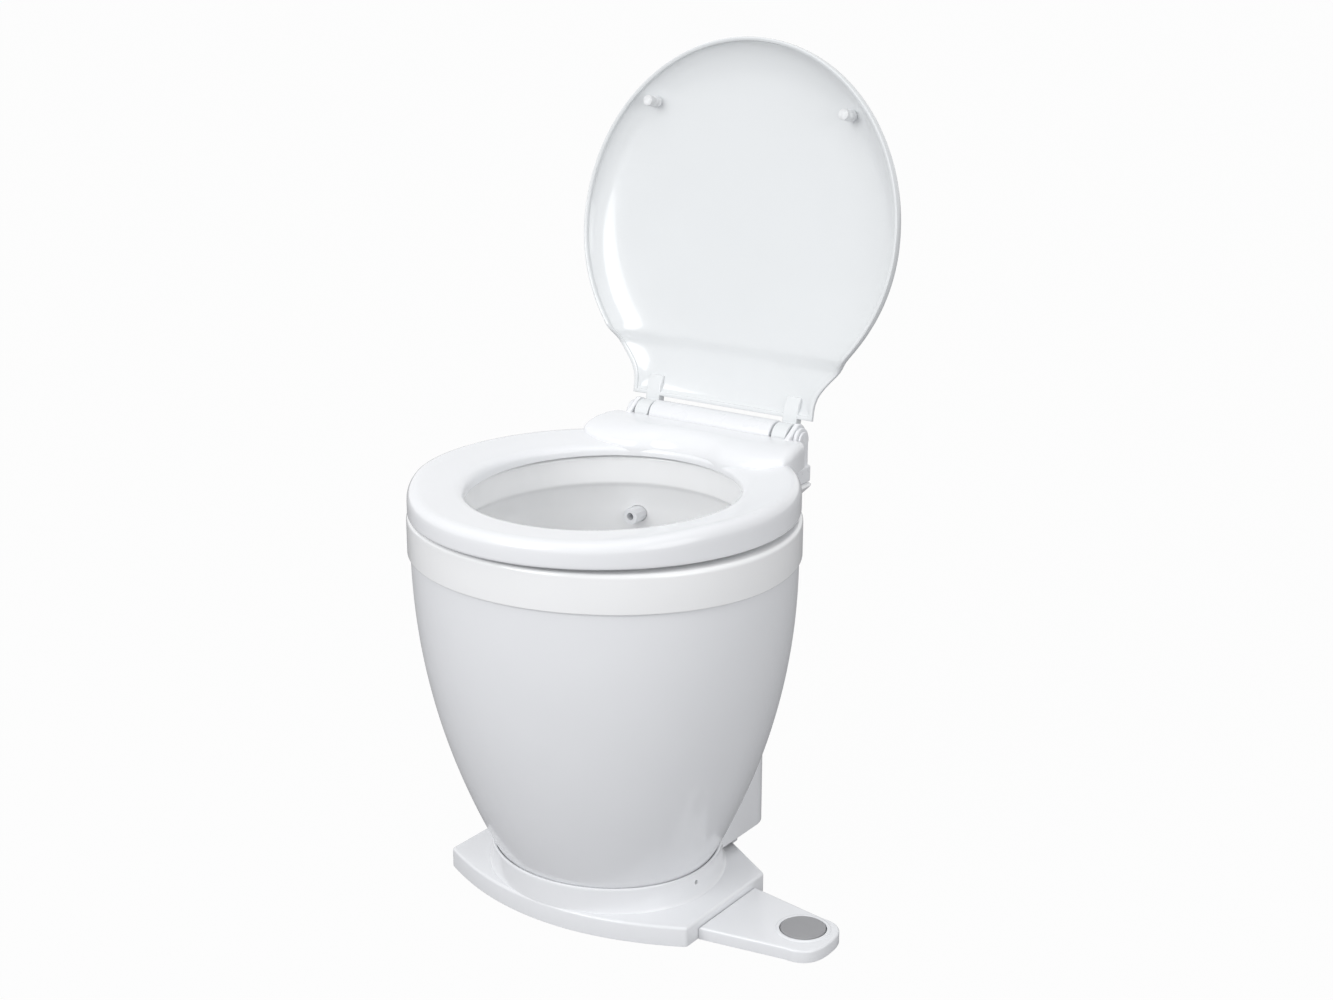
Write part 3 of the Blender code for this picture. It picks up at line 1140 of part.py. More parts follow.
def make_pump_housing():
    """Macerator chamber with its inlet collar on top and its discharge stub behind."""
    start = (-CHAMBER_HALF_LENGTH, PUMP_Y, PUMP_Z)
    end = (CHAMBER_HALF_LENGTH, PUMP_Y, PUMP_Z)
    housing = rod("pump_housing", start, end, CHAMBER_RADIUS, PIPE_SEGMENTS)
    centre = (0, PUMP_Y, PUMP_Z)
    join(housing, rod("collar", centre, (0, PUMP_Y, INLET_COLLAR_TOP_Z), INLET_COLLAR_RADIUS,
                      PIPE_SEGMENTS))
    stub_start = (DISCHARGE_X, PUMP_Y, DISCHARGE_Z)
    stub_end = (DISCHARGE_X, DISCHARGE_STUB_END_Y, DISCHARGE_Z)
    join(housing, rod("stub", stub_start, stub_end, DISCHARGE_RADIUS, PIPE_SEGMENTS))
    chamber_end = (CHAMBER_HALF_LENGTH - CHAMBER_BACK_WALL, PUMP_Y, PUMP_Z)
    chamber = rod("chamber", (-CHAMBER_HALF_LENGTH - OVERRUN, PUMP_Y, PUMP_Z), chamber_end, CHAMBER_BORE,
                  PIPE_SEGMENTS)
    inlet = rod("inlet", centre, (0, PUMP_Y, INLET_COLLAR_TOP_Z + OVERRUN), INLET_COLLAR_BORE,
                PIPE_SEGMENTS)
    outlet_end = (DISCHARGE_X, DISCHARGE_STUB_END_Y + OVERRUN, DISCHARGE_Z)
    outlet = rod("outlet", stub_start, outlet_end, DISCHARGE_BORE, PIPE_SEGMENTS)
    seal = rod("seal_seat", centre, (CHAMBER_HALF_LENGTH + OVERRUN, PUMP_Y, PUMP_Z), SEAL_RADIUS + GAP)
    return finish(cut(housing, chamber, inlet, outlet, seal), MOTOR_BLACK, 0.45)


def make_front_plate():
    """Round plate that closes the chamber."""
    start = (-CHAMBER_HALF_LENGTH - GAP - FRONT_PLATE_THICKNESS, PUMP_Y, PUMP_Z)
    end = (-CHAMBER_HALF_LENGTH - GAP, PUMP_Y, PUMP_Z)
    return finish(rod("pump_front_plate", start, end, CHAMBER_RADIUS, PIPE_SEGMENTS), MOTOR_BLACK, 0.45)


def make_shaft_seal():
    """Seal between the chamber and the motor."""
    start = (CHAMBER_HALF_LENGTH - CHAMBER_BACK_WALL, PUMP_Y, PUMP_Z)
    end = (CHAMBER_HALF_LENGTH, PUMP_Y, PUMP_Z)
    seal = sleeve("shaft_seal", start, end, SEAL_RADIUS, SHAFT_RADIUS + GAP, PIN_SEGMENTS)
    return finish(seal, RUBBER_BLACK, 0.6)


def make_motor_can():
    """Motor can, open at the end that its cap closes."""
    length = MOTOR_END_X - MOTOR_START_X
    bore = SHAFT_RADIUS + BORE_CLEARANCE
    profile = [(MOTOR_RADIUS, 0), (MOTOR_RADIUS, length), (MOTOR_BORE, length),
               (MOTOR_BORE, MOTOR_FRONT_WALL), (bore, MOTOR_FRONT_WALL), (bore, 0)]
    can = turned("motor_can", (MOTOR_START_X, PUMP_Y, PUMP_Z), (1, 0, 0), profile, hollow=True)
    return finish(can, MOTOR_BLACK, 0.35, 0.6)


def make_motor_cap():
    """End cap with the recess that carries the shaft's end."""
    start = (MOTOR_END_X + GAP, PUMP_Y, PUMP_Z)
    cap = rod("motor_end_cap", start, (MOTOR_CAP_END_X, PUMP_Y, PUMP_Z), MOTOR_RADIUS, PIPE_SEGMENTS)
    recess = rod("recess", (MOTOR_END_X - OVERRUN, PUMP_Y, PUMP_Z),
                 (MOTOR_END_X + MOTOR_CAP_RECESS, PUMP_Y, PUMP_Z), SHAFT_RADIUS + BORE_CLEARANCE)
    return finish(cut(cap, recess), STEEL, 0.35, 1.0)


def make_shaft():
    """Motor shaft through the seal into the chamber."""
    start = (SHAFT_START_X, PUMP_Y, PUMP_Z)
    shaft = rod("motor_shaft", start, (SHAFT_END_X, PUMP_Y, PUMP_Z), SHAFT_RADIUS)
    return finish(set_origin(shaft, (0, PUMP_Y, PUMP_Z)), STEEL, 0.25, 1.0)


def make_armature():
    """Armature that turns with the shaft inside the motor can."""
    start = (ARMATURE_START_X, PUMP_Y, PUMP_Z)
    armature = sleeve("motor_armature", start, (ARMATURE_END_X, PUMP_Y, PUMP_Z), ARMATURE_RADIUS,
                      SHAFT_RADIUS + GAP, PIN_SEGMENTS)
    return finish(set_origin(armature, (0, PUMP_Y, PUMP_Z)), STEEL, 0.5, 1.0)


def radial_bar(name, angle, low, high, thickness, start_x, width):
    """Flat bar that stands out from the pump's axis at an angle."""
    spoke = Vector((0, math.cos(angle), math.sin(angle)))
    across = Vector((0, -math.sin(angle), math.cos(angle))) * thickness / 2
    centre = Vector((start_x, PUMP_Y, PUMP_Z))
    ring = [centre + spoke * low - across, centre + spoke * high - across,
            centre + spoke * high + across, centre + spoke * low + across]
    return loft(name, [ring, [point + Vector((width, 0, 0)) for point in ring]])


def make_impeller():
    """Impeller with straight vanes."""
    start = (IMPELLER_X, PUMP_Y, PUMP_Z)
    end = (IMPELLER_X + IMPELLER_WIDTH, PUMP_Y, PUMP_Z)
    impeller = rod("impeller", start, end, IMPELLER_HUB_RADIUS)
    for vane in range(IMPELLER_VANES):
        angle = 2 * math.pi * vane / IMPELLER_VANES
        join(impeller, radial_bar("vane", angle, IMPELLER_HUB_RADIUS / 2, IMPELLER_RADIUS,
                                  IMPELLER_VANE_THICKNESS, IMPELLER_X + GAP, IMPELLER_WIDTH - GAP * 2))
    cut(impeller, shaft_bore())
    return finish(set_origin(impeller, (0, PUMP_Y, PUMP_Z)), BRONZE, 0.4, 1.0)


def shaft_bore():
    """Cutter for the pieces that sit on the shaft."""
    start = (SHAFT_START_X - OVERRUN, PUMP_Y, PUMP_Z)
    return rod("shaft_bore", start, (SHAFT_END_X + OVERRUN, PUMP_Y, PUMP_Z), SHAFT_RADIUS + GAP)


def make_chopper():
    """Two-armed chopping blade at the shaft's end."""
    start = (CHOPPER_X, PUMP_Y, PUMP_Z)
    blade = rod("chopper_blade", start, (CHOPPER_X + CHOPPER_THICKNESS, PUMP_Y, PUMP_Z), CHOPPER_HUB_RADIUS)
    join(blade, radial_bar("bar", 0, -CHOPPER_LENGTH / 2, CHOPPER_LENGTH / 2, CHOPPER_WIDTH,
                           CHOPPER_X + GAP, CHOPPER_THICKNESS - GAP * 2))
    cut(blade, shaft_bore())
    return finish(set_origin(blade, (0, PUMP_Y, PUMP_Z)), STEEL, 0.3, 1.0)


def make_cradle(name, start_x, radius):
    """Rubber cradle between the plinth and a round pump body."""
    cradle = block(name, (start_x, PUMP_Y - CRADLE_HALF_WIDTH, PLINTH_HEIGHT + GAP),
                   (start_x + CRADLE_LENGTH, PUMP_Y + CRADLE_HALF_WIDTH, CRADLE_TOP_Z))
    cut(cradle, rod("body", (start_x - OVERRUN, PUMP_Y, PUMP_Z),
                    (start_x + CRADLE_LENGTH + OVERRUN, PUMP_Y, PUMP_Z), radius + GAP, PIPE_SEGMENTS))
    return finish(cradle, RUBBER_BLACK, 0.7)


def make_sleeve():
    """Rubber sleeve from the bowl's outlet to the pump's inlet."""
    inner = SLEEVE_BORE
    item = sleeve("bowl_outlet_sleeve", (0, OUTLET_Y, SLEEVE_LOW_Z), (0, OUTLET_Y, SLEEVE_TOP_Z),
                  inner + SLEEVE_WALL, inner)
    return finish(item, RUBBER_BLACK, 0.6)


def make_clamp(name, low_z):
    """Steel band round the sleeve."""
    inner = SLEEVE_BORE + SLEEVE_WALL + GAP
    item = sleeve(name, (0, OUTLET_Y, low_z), (0, OUTLET_Y, low_z + CLAMP_WIDTH), inner + CLAMP_WALL, inner)
    return finish(item, STEEL, 0.3, 1.0)


def make_joker_valve():
    """Tapering rubber non-return valve inside its housing."""
    start = (DISCHARGE_X, DISCHARGE_STUB_END_Y + GAP * 2, DISCHARGE_Z)
    lip = JOKER_LIP_Y - start[1]
    outer = JOKER_HOUSING_BORE - GAP
    profile = [(outer, 0), (outer, JOKER_FLANGE_WIDTH), (DISCHARGE_BORE + JOKER_WALL, JOKER_FLANGE_WIDTH),
               (JOKER_LIP_RADIUS + JOKER_WALL, lip), (JOKER_LIP_RADIUS, lip), (DISCHARGE_BORE, 0)]
    valve = turned("joker_valve", start, (0, 1, 0), profile, hollow=True, segments=PIN_SEGMENTS)
    return finish(valve, RUBBER_BLACK, 0.6)


def barbed_profile(radius, length, flange_radius, flange_length):
    """Outside of a hose barb, with the barbs at its far end."""
    profile = [(flange_radius, 0), (flange_radius, flange_length), (radius, flange_length)]
    for barb in range(SPIGOT_BARBS):
        root = length - (SPIGOT_BARBS - barb) * SPIGOT_BARB_PITCH
        profile += [(radius, root), (radius + SPIGOT_BARB_HEIGHT, root + SPIGOT_BARB_PITCH / 4)]
    return profile + [(radius, length)]


def make_discharge_spigot():
    """Barbed spigot through the rear cover; its wide end houses the non-return valve."""
    start = (DISCHARGE_X, DISCHARGE_STUB_END_Y + GAP, DISCHARGE_Z)
    length = SPIGOT_END_Y - start[1]
    housing = JOKER_HOUSING_END_Y - start[1]
    profile = barbed_profile(DISCHARGE_RADIUS, length, JOKER_HOUSING_RADIUS, housing)
    profile += [(DISCHARGE_BORE, length), (DISCHARGE_BORE, housing - JOKER_HOUSING_WALL),
                (JOKER_HOUSING_BORE, housing - JOKER_HOUSING_WALL), (JOKER_HOUSING_BORE, 0)]
    spigot = turned("discharge_spigot", start, (0, 1, 0), profile, hollow=True, segments=PIPE_SEGMENTS)
    return finish(spigot, MOTOR_BLACK, 0.45)


def make_valve_body():
    """Body of the rinse water valve, with its inlet, outlet and plunger bores."""
    body = block("valve_body", (VALVE_X - VALVE_HALF_WIDTH, VALVE_Y - VALVE_HALF_DEPTH, VALVE_LOW_Z),
                 (VALVE_X + VALVE_HALF_WIDTH, VALVE_Y + VALVE_HALF_DEPTH, VALVE_TOP_Z))
    inlet_end = (VALVE_X, VALVE_Y + VALVE_HALF_DEPTH + OVERRUN, INLET_BARB_Z)
    inlet = rod("inlet", (VALVE_X, VALVE_Y, INLET_BARB_Z), inlet_end, INLET_BARB_BORE)
    seat = rod("seat", (VALVE_X, VALVE_Y, VALVE_TOP_Z - VALVE_SEAT_DEPTH),
               (VALVE_X, VALVE_Y, VALVE_TOP_Z + OVERRUN), VALVE_PLUNGER_RADIUS + BORE_CLEARANCE)
    outlet_z = VALVE_TOP_Z - VALVE_SEAT_DEPTH / 2
    outlet = rod("outlet", (VALVE_X - VALVE_HALF_WIDTH - OVERRUN, VALVE_Y, outlet_z),
                 (VALVE_X, VALVE_Y, outlet_z), HOSE_RADIUS / 2)
    return finish(cut(body, inlet, seat, outlet), VALVE_BLUE, 0.4)


def make_valve_coil():
    """Coil on top of the valve body."""
    item = sleeve("valve_coil", (VALVE_X, VALVE_Y, VALVE_TOP_Z + GAP), (VALVE_X, VALVE_Y, COIL_TOP_Z),
                  COIL_RADIUS, VALVE_PLUNGER_RADIUS + BORE_CLEARANCE)
    return finish(item, MOTOR_BLACK, 0.4)


def make_valve_plunger():
    """Plunger that the coil lifts off the valve's seat."""
    plunger = rod("valve_plunger", (VALVE_X, VALVE_Y, VALVE_PLUNGER_LOW_Z),
                  (VALVE_X, VALVE_Y, VALVE_PLUNGER_TOP_Z), VALVE_PLUNGER_RADIUS)
    return finish(set_origin(plunger, (VALVE_X, VALVE_Y, VALVE_TOP_Z)), STEEL, 0.3, 1.0)


def make_inlet_barb():
    """Barbed rinse water inlet through the rear cover."""
    start = (VALVE_X, VALVE_Y + VALVE_HALF_DEPTH + GAP, INLET_BARB_Z)
    length = INLET_BARB_END_Y - start[1]
    profile = barbed_profile(INLET_BARB_RADIUS, length, VALVE_HALF_DEPTH * 2 / 3, BRACKET_PLATE)
    profile += [(INLET_BARB_BORE, length), (INLET_BARB_BORE, 0)]
    barb = turned("inlet_barb", start, (0, 1, 0), profile, hollow=True, segments=PIN_SEGMENTS)
    return finish(barb, BRONZE, 0.3, 1.0)


def make_service_bracket():
    """Upright plate that carries the valve and the control box over the discharge line."""
    near_y, far_y = VALVE_Y - BRACKET_PLATE / 2, VALVE_Y + BRACKET_PLATE / 2
    low_z, high_z = PLINTH_HEIGHT + GAP, VALVE_LOW_Z - GAP
    bracket = block("service_bracket", (CONTROL_X - BRACKET_HALF_WIDTH, near_y, low_z),
                    (VALVE_X + BRACKET_HALF_WIDTH, far_y, high_z))
    low = (CONTROL_X - BRACKET_HALF_WIDTH, near_y, high_z - BRACKET_PLATE)
    join(bracket, block("tab", low, (CONTROL_X + BRACKET_HALF_WIDTH, far_y, CONTROL_LOW_Z - GAP)))
    opening = JOKER_HOUSING_RADIUS + BRACKET_PLATE
    cut(bracket, block("opening", (DISCHARGE_X - opening, near_y - OVERRUN, PLINTH_HEIGHT - OVERRUN),
                       (DISCHARGE_X + opening, far_y + OVERRUN, DISCHARGE_Z + opening)))
    return finish(bracket, STEEL, 0.4, 1.0)


def make_nozzle():
    """Elbow that brings the rinse water through the bowl's rear wall."""
    start = (NOZZLE_X, NOZZLE_FRONT_Y + OVERRUN / 2, NOZZLE_Z)
    end = (NOZZLE_X, NOZZLE_END_Y + NOZZLE_RADIUS, NOZZLE_Z)
    bend = (NOZZLE_X, NOZZLE_END_Y, NOZZLE_Z)
    nozzle = rod("flush_nozzle", start, end, NOZZLE_RADIUS)
    join(nozzle, rod("elbow", (NOZZLE_X, NOZZLE_END_Y, NOZZLE_ELBOW_LOW_Z), bend, NOZZLE_ELBOW_RADIUS))
    bore_start = (NOZZLE_X, NOZZLE_FRONT_Y, NOZZLE_Z)
    bore = rod("bore", bore_start, (NOZZLE_X, NOZZLE_END_Y + NOZZLE_BORE, NOZZLE_Z), NOZZLE_BORE)
    drop_start = (NOZZLE_X, NOZZLE_END_Y, NOZZLE_ELBOW_LOW_Z - OVERRUN)
    drop = rod("drop", drop_start, bend, NOZZLE_ELBOW_BORE)
    return finish(cut(nozzle, bore, drop), WHITE_PLASTIC, 0.3)


def make_control_box():
    """Control box that the switch, the motor and the valve are wired to."""
    low = (CONTROL_X - CONTROL_HALF_WIDTH, CONTROL_Y - CONTROL_HALF_DEPTH, CONTROL_LOW_Z)
    high = (CONTROL_X + CONTROL_HALF_WIDTH, CONTROL_Y + CONTROL_HALF_DEPTH, CONTROL_TOP_Z)
    box = block("control_box", low, high)
    return finish(soften(box, CONTROL_EDGE_ROUND, 1), MOTOR_BLACK, 0.5)


def make_gland():
    """Gland in the rear cover where the supply lead enters."""
    inside = COVER_REAR_Y - COVER_WALL - GLAND_LENGTH / 3
    start = (GLAND_X, inside, GLAND_Z)
    wall_end = COVER_REAR_Y + GAP - inside
    profile = [(GLAND_THREAD_RADIUS, 0), (GLAND_THREAD_RADIUS, wall_end), (GLAND_RADIUS, wall_end),
               (GLAND_RADIUS, wall_end + GLAND_LENGTH / 3), (GLAND_THREAD_RADIUS, wall_end + GLAND_LENGTH),
               (GLAND_BORE, wall_end + GLAND_LENGTH), (GLAND_BORE, 0)]
    return finish(turned("power_gland", start, (0, 1, 0), profile, hollow=True, segments=PIN_SEGMENTS),
                  RUBBER_BLACK, 0.5)


# Routes of the leads and the rinse hose between their ends, as shares of ROUTE_SPAN
SWITCH_CABLE_SHARES = ((0.7737, 0.03285, 0.01161), (0.6654, 0.04745, 0.0122),
    (0.5803, 0.05693, 0.01339), (0.5029, 0.06204, 0.01488), (0.4023, 0.1606, 0.01726),
    (0.2901, 0.3212, 0.01905), (0.1934, 0.4964, 0.02083), (0.176, 0.7153, 0.02381),
    (0.1741, 0.8175, 0.05952), (0.1702, 0.8321, 0.1339), (0.1006, 0.8175, 0.2143),
    (0.007737, 0.8029, 0.2917), (-0.03868, 1, 0.3542))
MOTOR_CABLE_SHARES = ((0.294, 0.0365, 0.3095), (0.2708, 0.2482, 0.3512), (0.2012, 0.5255, 0.369),
    (0.1083, 0.7153, 0.3869), (0.007737, 0.8613, 0.4107), (-0.04642, 1, 0.4226))
VALVE_CABLE_SHARES = ((0.1431, 1, 0.4762), (0.07737, 1, 0.5119), (-0.03868, 1, 0.5298),
    (-0.1896, 1, 0.506))
FLUSH_HOSE_SHARES = ((0.07737, 1, 0.3214), (0.02708, 1.015, 0.369), (0.003868, 1.066, 0.4911),
    (-0.03868, 1.088, 0.6101), (-0.1393, 1.088, 0.7589), (-0.2244, 1.106, 0.8929))


def route(start, shares, end):
    """Smooth route from a start, through places given as shares, to an end."""
    spans = (SWITCH_END_X, CONTROL_Y, NOZZLE_Z)
    places = [Vector([size * share for size, share in zip(spans, row)]) for row in shares]
    return smooth_route([Vector(start)] + places + [Vector(end)], ROUTE_STEPS)


def make_leads():
    """Leads between the switch, motor, valve and control box, and the rinse hose."""
    box_side_x = CONTROL_X + CONTROL_HALF_WIDTH + GAP
    start = (BUTTON_X - MICROSWITCH_LENGTH / 2 - GAP, BUTTON_Y, SWITCH_CABLE_Z)
    way = route(start, SWITCH_CABLE_SHARES, (box_side_x, CONTROL_Y, SWITCH_ENTRY_Z))
    finish(tube("switch_cable", way, CABLE_RADIUS, 1), CABLE_BLACK, 0.5)
    start = (MOTOR_LEAD_X, PUMP_Y, PUMP_Z + MOTOR_RADIUS + GAP)
    way = route(start, MOTOR_CABLE_SHARES, (box_side_x, CONTROL_Y, MOTOR_ENTRY_Z))
    finish(tube("motor_cable", way, CABLE_RADIUS, 1), CABLE_BLACK, 0.5)
    start = (VALVE_X - VALVE_LEAD_OFFSET, VALVE_Y, COIL_TOP_Z + GAP)
    way = route(start, VALVE_CABLE_SHARES, (CONTROL_X, CONTROL_Y, CONTROL_TOP_Z + GAP))
    finish(tube("valve_cable", way, CABLE_RADIUS, 1), CABLE_BLACK, 0.5)
    start = (VALVE_X - VALVE_HALF_WIDTH - GAP, VALVE_Y, VALVE_TOP_Z - VALVE_SEAT_DEPTH / 2)
    way = route(start, FLUSH_HOSE_SHARES, (NOZZLE_X, NOZZLE_END_Y, NOZZLE_ELBOW_LOW_Z - GAP))
    finish(tube("flush_hose", way, HOSE_RADIUS), RUBBER_WHITE, 0.5)


def make_casing():
    """Plinth, casing, bowl and rear cover with their screws."""
    make_plinth()
    make_shell()
    make_bowl()
    make_rear_cover()
    make_nozzle()
    for side, word in ((-1, "left"), (1, "right")):
        make_shell_screw(side, "shell_screw_" + word)
        make_cover_screw(side, "rear_cover_screw_" + word)


def make_hinge():
    """Seat, lid and everything along their common axis."""
    make_seat()
    make_lid()
    make_barrel()
    make_hinge_pin()
    for side, word in ((-1, "left"), (1, "right")):
        make_bracket(side, "hinge_bracket_" + word)
        make_hinge_cap(side, "hinge_cap_" + word)
        make_hinge_bolt(side, "hinge_bolt_" + word)
        make_hinge_nut(side, "hinge_nut_" + word)
        make_lid_buffer(side, "lid_buffer_" + word)
        make_seat_buffer(side, -1, "seat_buffer_front_" + word)
        make_seat_buffer(side, 1, "seat_buffer_rear_" + word)


def make_foot_switch():
    """Foot switch at the plinth's side."""
    make_switch_housing()
    make_base_plate()
    make_button()
    make_microswitch()
    make_switch_plunger()
    make_button_spring()


def make_pump():
    """Macerator pump, motor and discharge line."""
    make_pump_housing()
    make_front_plate()
    make_shaft_seal()
    make_motor_can()
    make_motor_cap()
    make_shaft()
    make_armature()
    make_impeller()
    make_chopper()
    make_cradle("pump_cradle", CHAMBER_CRADLE_START_X, CHAMBER_RADIUS)
    make_cradle("motor_cradle", MOTOR_CRADLE_START_X, MOTOR_RADIUS)
    make_sleeve()
    make_clamp("sleeve_clamp_lower", SLEEVE_LOW_Z + CLAMP_MARGIN)
    make_clamp("sleeve_clamp_upper", SLEEVE_TOP_Z - CLAMP_MARGIN - CLAMP_WIDTH)
    make_joker_valve()
    make_discharge_spigot()


def make_water_and_wiring():
    """Rinse water valve, control box, gland and leads."""
    make_valve_body()
    make_valve_coil()
    make_valve_plunger()
    make_inlet_barb()
    make_service_bracket()
    make_control_box()
    make_gland()
    make_leads()


clear_scene()
make_casing()
make_hinge()
make_foot_switch()
make_pump()
make_water_and_wiring()
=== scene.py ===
"""Looks of the electric toilet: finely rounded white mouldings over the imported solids."""
import math

import bmesh
import bpy
from mathutils import Matrix, Vector


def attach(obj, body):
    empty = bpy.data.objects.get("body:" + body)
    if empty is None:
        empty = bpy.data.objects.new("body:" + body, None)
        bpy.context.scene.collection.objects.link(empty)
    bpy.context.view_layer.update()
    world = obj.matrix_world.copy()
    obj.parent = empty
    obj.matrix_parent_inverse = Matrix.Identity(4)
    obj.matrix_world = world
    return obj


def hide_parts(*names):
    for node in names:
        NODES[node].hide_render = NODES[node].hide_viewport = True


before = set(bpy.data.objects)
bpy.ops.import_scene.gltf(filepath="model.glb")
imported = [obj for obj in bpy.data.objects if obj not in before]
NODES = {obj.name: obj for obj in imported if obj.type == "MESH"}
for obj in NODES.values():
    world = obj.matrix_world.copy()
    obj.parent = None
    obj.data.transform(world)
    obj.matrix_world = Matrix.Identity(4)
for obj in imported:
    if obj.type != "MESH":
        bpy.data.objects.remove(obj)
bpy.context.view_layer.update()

SEGMENTS = 160  # points round an oval
BEVEL_ANGLE = math.radians(35)  # edges that turn by more are rounded

# Sizes in metres, most of them those of the solids. An oval is its half width and its reaches to
# the front and to the rear of its centre.
CENTRE_Y = -0.008
SHELL = (0.1865, 0.1665, 0.1925)
SHELL_LOW = 0.0203
SHELL_TOP = 0.3447
SHELL_WALL = 0.0035
TAPER_POWER = 2.1
FOOT_HALF = 0.1122
FOOT_SHIFT = 0.004
FOOT_Z = 0.045
BAND = (0.1895, 0.1695, 0.1955)
BAND_LOW = 0.345
BAND_TOP = 0.382
RIM = (0.139, 0.127, 0.143)
RIM_TOP = 0.390
RIM_LIFT = 0.0095
WELL_TOP = 0.348
THROAT_TOP = 0.136
THROAT_LOW = 0.118
THROAT_Y = 0.005
THROAT_RADIUS = 0.028
PLINTH_HALF = 0.143
PLINTH_TOP = 0.020
COVER_LOW = 0.028
COVER_TOP = 0.205
BUTTON = Vector((0.2250, 0.0045, 0))
BUTTON_WELL = 0.0222
TONGUE_TOP = 0.0125
SEAT_OUTER = (0.185, 0.185, 0.186)
SEAT_INNER = (0.130, 0.134, 0.127)
SEAT_LOW = 0.3866
SEAT_CEILING = 0.3925
SEAT_REAR_Y = 0.1722
DECK_LOW = 0.4045
DECK_HEIGHT = 0.025
AXIS = Vector((0, 0.188, 0.4265))
OPEN_ANGLE = math.radians(100)
BARREL_RADIUS = 0.0155
BARREL_HALF = 0.0725
SHELF_HALF = 0.1085
SHELF_REAR_Y = 0.2015

# The lift of an oval toward the hinge: where it starts in y, and over what run it rises
LIFT_START, LIFT_RUN = -0.125, 0.255
CROWN_START, CROWN_RUN = -0.165, 0.110


# Meshes

def mesh_object(name, points, faces, body, *replaced):
    """Make a smooth piece that rides on a body and stands for solids."""
    mesh = bpy.data.meshes.new(name)
    mesh.from_pydata([tuple(p) for p in points], [], faces)
    item = bpy.data.objects.new(name, mesh)
    bpy.context.scene.collection.objects.link(item)
    bm = bmesh.new()
    bm.from_mesh(mesh)
    bmesh.ops.remove_doubles(bm, verts=bm.verts, dist=1e-6)
    bmesh.ops.recalc_face_normals(bm, faces=bm.faces)
    bm.to_mesh(mesh)
    bm.free()
    smooth(item)
    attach(item, body)
    if replaced:
        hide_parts(*replaced)
    return item


def smooth(item, degrees=32):
    """Shade smoothly, with edges sharper than an angle kept."""
    item.data.shade_smooth()
    item.data.set_sharp_from_angle(angle=math.radians(degrees))


def skin(rings, closed=False):
    """Points and faces of a skin over equal rings, capped or closed from the last to the first."""
    points, faces = [], []
    count = len(rings[0])
    for ring in rings:
        points += ring
    for row in range(len(rings) - 1):
        for step in range(count):
            after = (step + 1) % count
            faces.append((row * count + step, row * count + after,
                          (row + 1) * count + after, (row + 1) * count + step))
    if closed:
        last = (len(rings) - 1) * count
        for step in range(count):
            after = (step + 1) % count
            faces.append((last + step, last + after, after, step))
    else:
        faces.append(tuple(range(count)))
        faces.append(tuple(range(len(points) - count, len(points))))
    return points, faces


def arc_through(points, radii, steps, closed=True, plane=None):
    """Round the corners of a path of equal tuples, with lengths taken in a plane of it."""
    result = []
    count = len(points)
    for index, point in enumerate(points):
        radius = radii[index]
        if radius == 0 or (not closed and index in (0, count - 1)):
            result.append(tuple(point))
            continue
        before, after = points[index - 1], points[(index + 1) % count]
        ends = []
        for other in (before, after):
            gap = [b - a for a, b in zip(point, other)]
            used = gap if plane is None else [gap[i] for i in plane]
            length = math.sqrt(sum(g * g for g in used)) or 1e-9
            share = min(radius / length, 0.49)
            ends.append([a + g * share for a, g in zip(point, gap)])
        for step in range(steps + 1):
            t = step / steps
            result.append(tuple((1 - t) ** 2 * a + 2 * t * (1 - t) * p + t * t * b
                                for a, p, b in zip(ends[0], point, ends[1])))
    return result


def spline(points, steps):
    """Smooth path through a list of equal tuples."""
    padded = [points[0]] + list(points) + [points[-1]]
    result = []
    for a, b, c, d in zip(padded, padded[1:], padded[2:], padded[3:]):
        for step in range(steps):
            t = step / steps
            result.append(tuple(0.5 * (2 * q + (r - p) * t + (2 * p - 5 * q + 4 * r - s) * t * t
                                       + (3 * q - p - 3 * r + s) * t ** 3)
                                for p, q, r, s in zip(a, b, c, d)))
    result.append(tuple(points[-1]))
    return result


def ease(value):
    """Rise smoothly from 0 to 1 with a value between them."""
    clipped = min(max(value, 0.0), 1.0)
    return clipped * clipped * (3 - 2 * clipped)


def oval(half, front, rear, centre_y, z, lift=0.0, crown=0.0):
    """Egg-shaped ring of two half ellipses, raised toward the hinge by its lift and its crown."""
    ring = []
    for step in range(SEGMENTS):
        angle = 2 * math.pi * step / SEGMENTS
        reach = rear if math.sin(angle) > 0 else front
        y = centre_y + reach * math.sin(angle)
        share = min(max((y - LIFT_START) / LIFT_RUN, 0), 1)
        early = ease((y - CROWN_START) / CROWN_RUN)
        ring.append(Vector((half * math.cos(angle), y, z + lift * share + crown * early)))
    return ring


def ovals(levels):
    """Rings of the ovals at these levels."""
    return [oval(*level) for level in levels]


def grown(sizes, growth, centre_y, z, lift=0.0, crown=0.0):
    """Level of an oval that is larger all round by a growth."""
    return (*[size + growth for size in sizes], centre_y, z, lift, crown)


def turned(start, axis, profile, segments, hollow=False):
    """Skin of a (radius, distance) profile round an axis."""
    along = Vector(axis).normalized()
    turn = along.to_track_quat("Z", "Y")
    rings = []
    for radius, far in profile:
        ring = []
        for step in range(segments):
            angle = 2 * math.pi * step / segments
            spoke = turn @ Vector((radius * math.cos(angle), radius * math.sin(angle), 0))
            ring.append(Vector(start) + along * far + spoke)
        rings.append(ring)
    return skin(rings, hollow)


def raised(plan, z):
    """Ring of a plan at a height."""
    return [Vector((x, y, z)) for x, y in plan]


def slab(outline, levels):
    """Skin of a plan outline that is drawn in at each level."""
    return skin([raised(outline(inset), z) for inset, z in levels])


def plate(outline, first, last, origin=Vector()):
    """Skin of a (y, z) outline round an origin, between two x places."""
    return skin([[Vector((x, origin.y + y, origin.z + z)) for y, z in outline]
                 for x in sorted((first, last))])


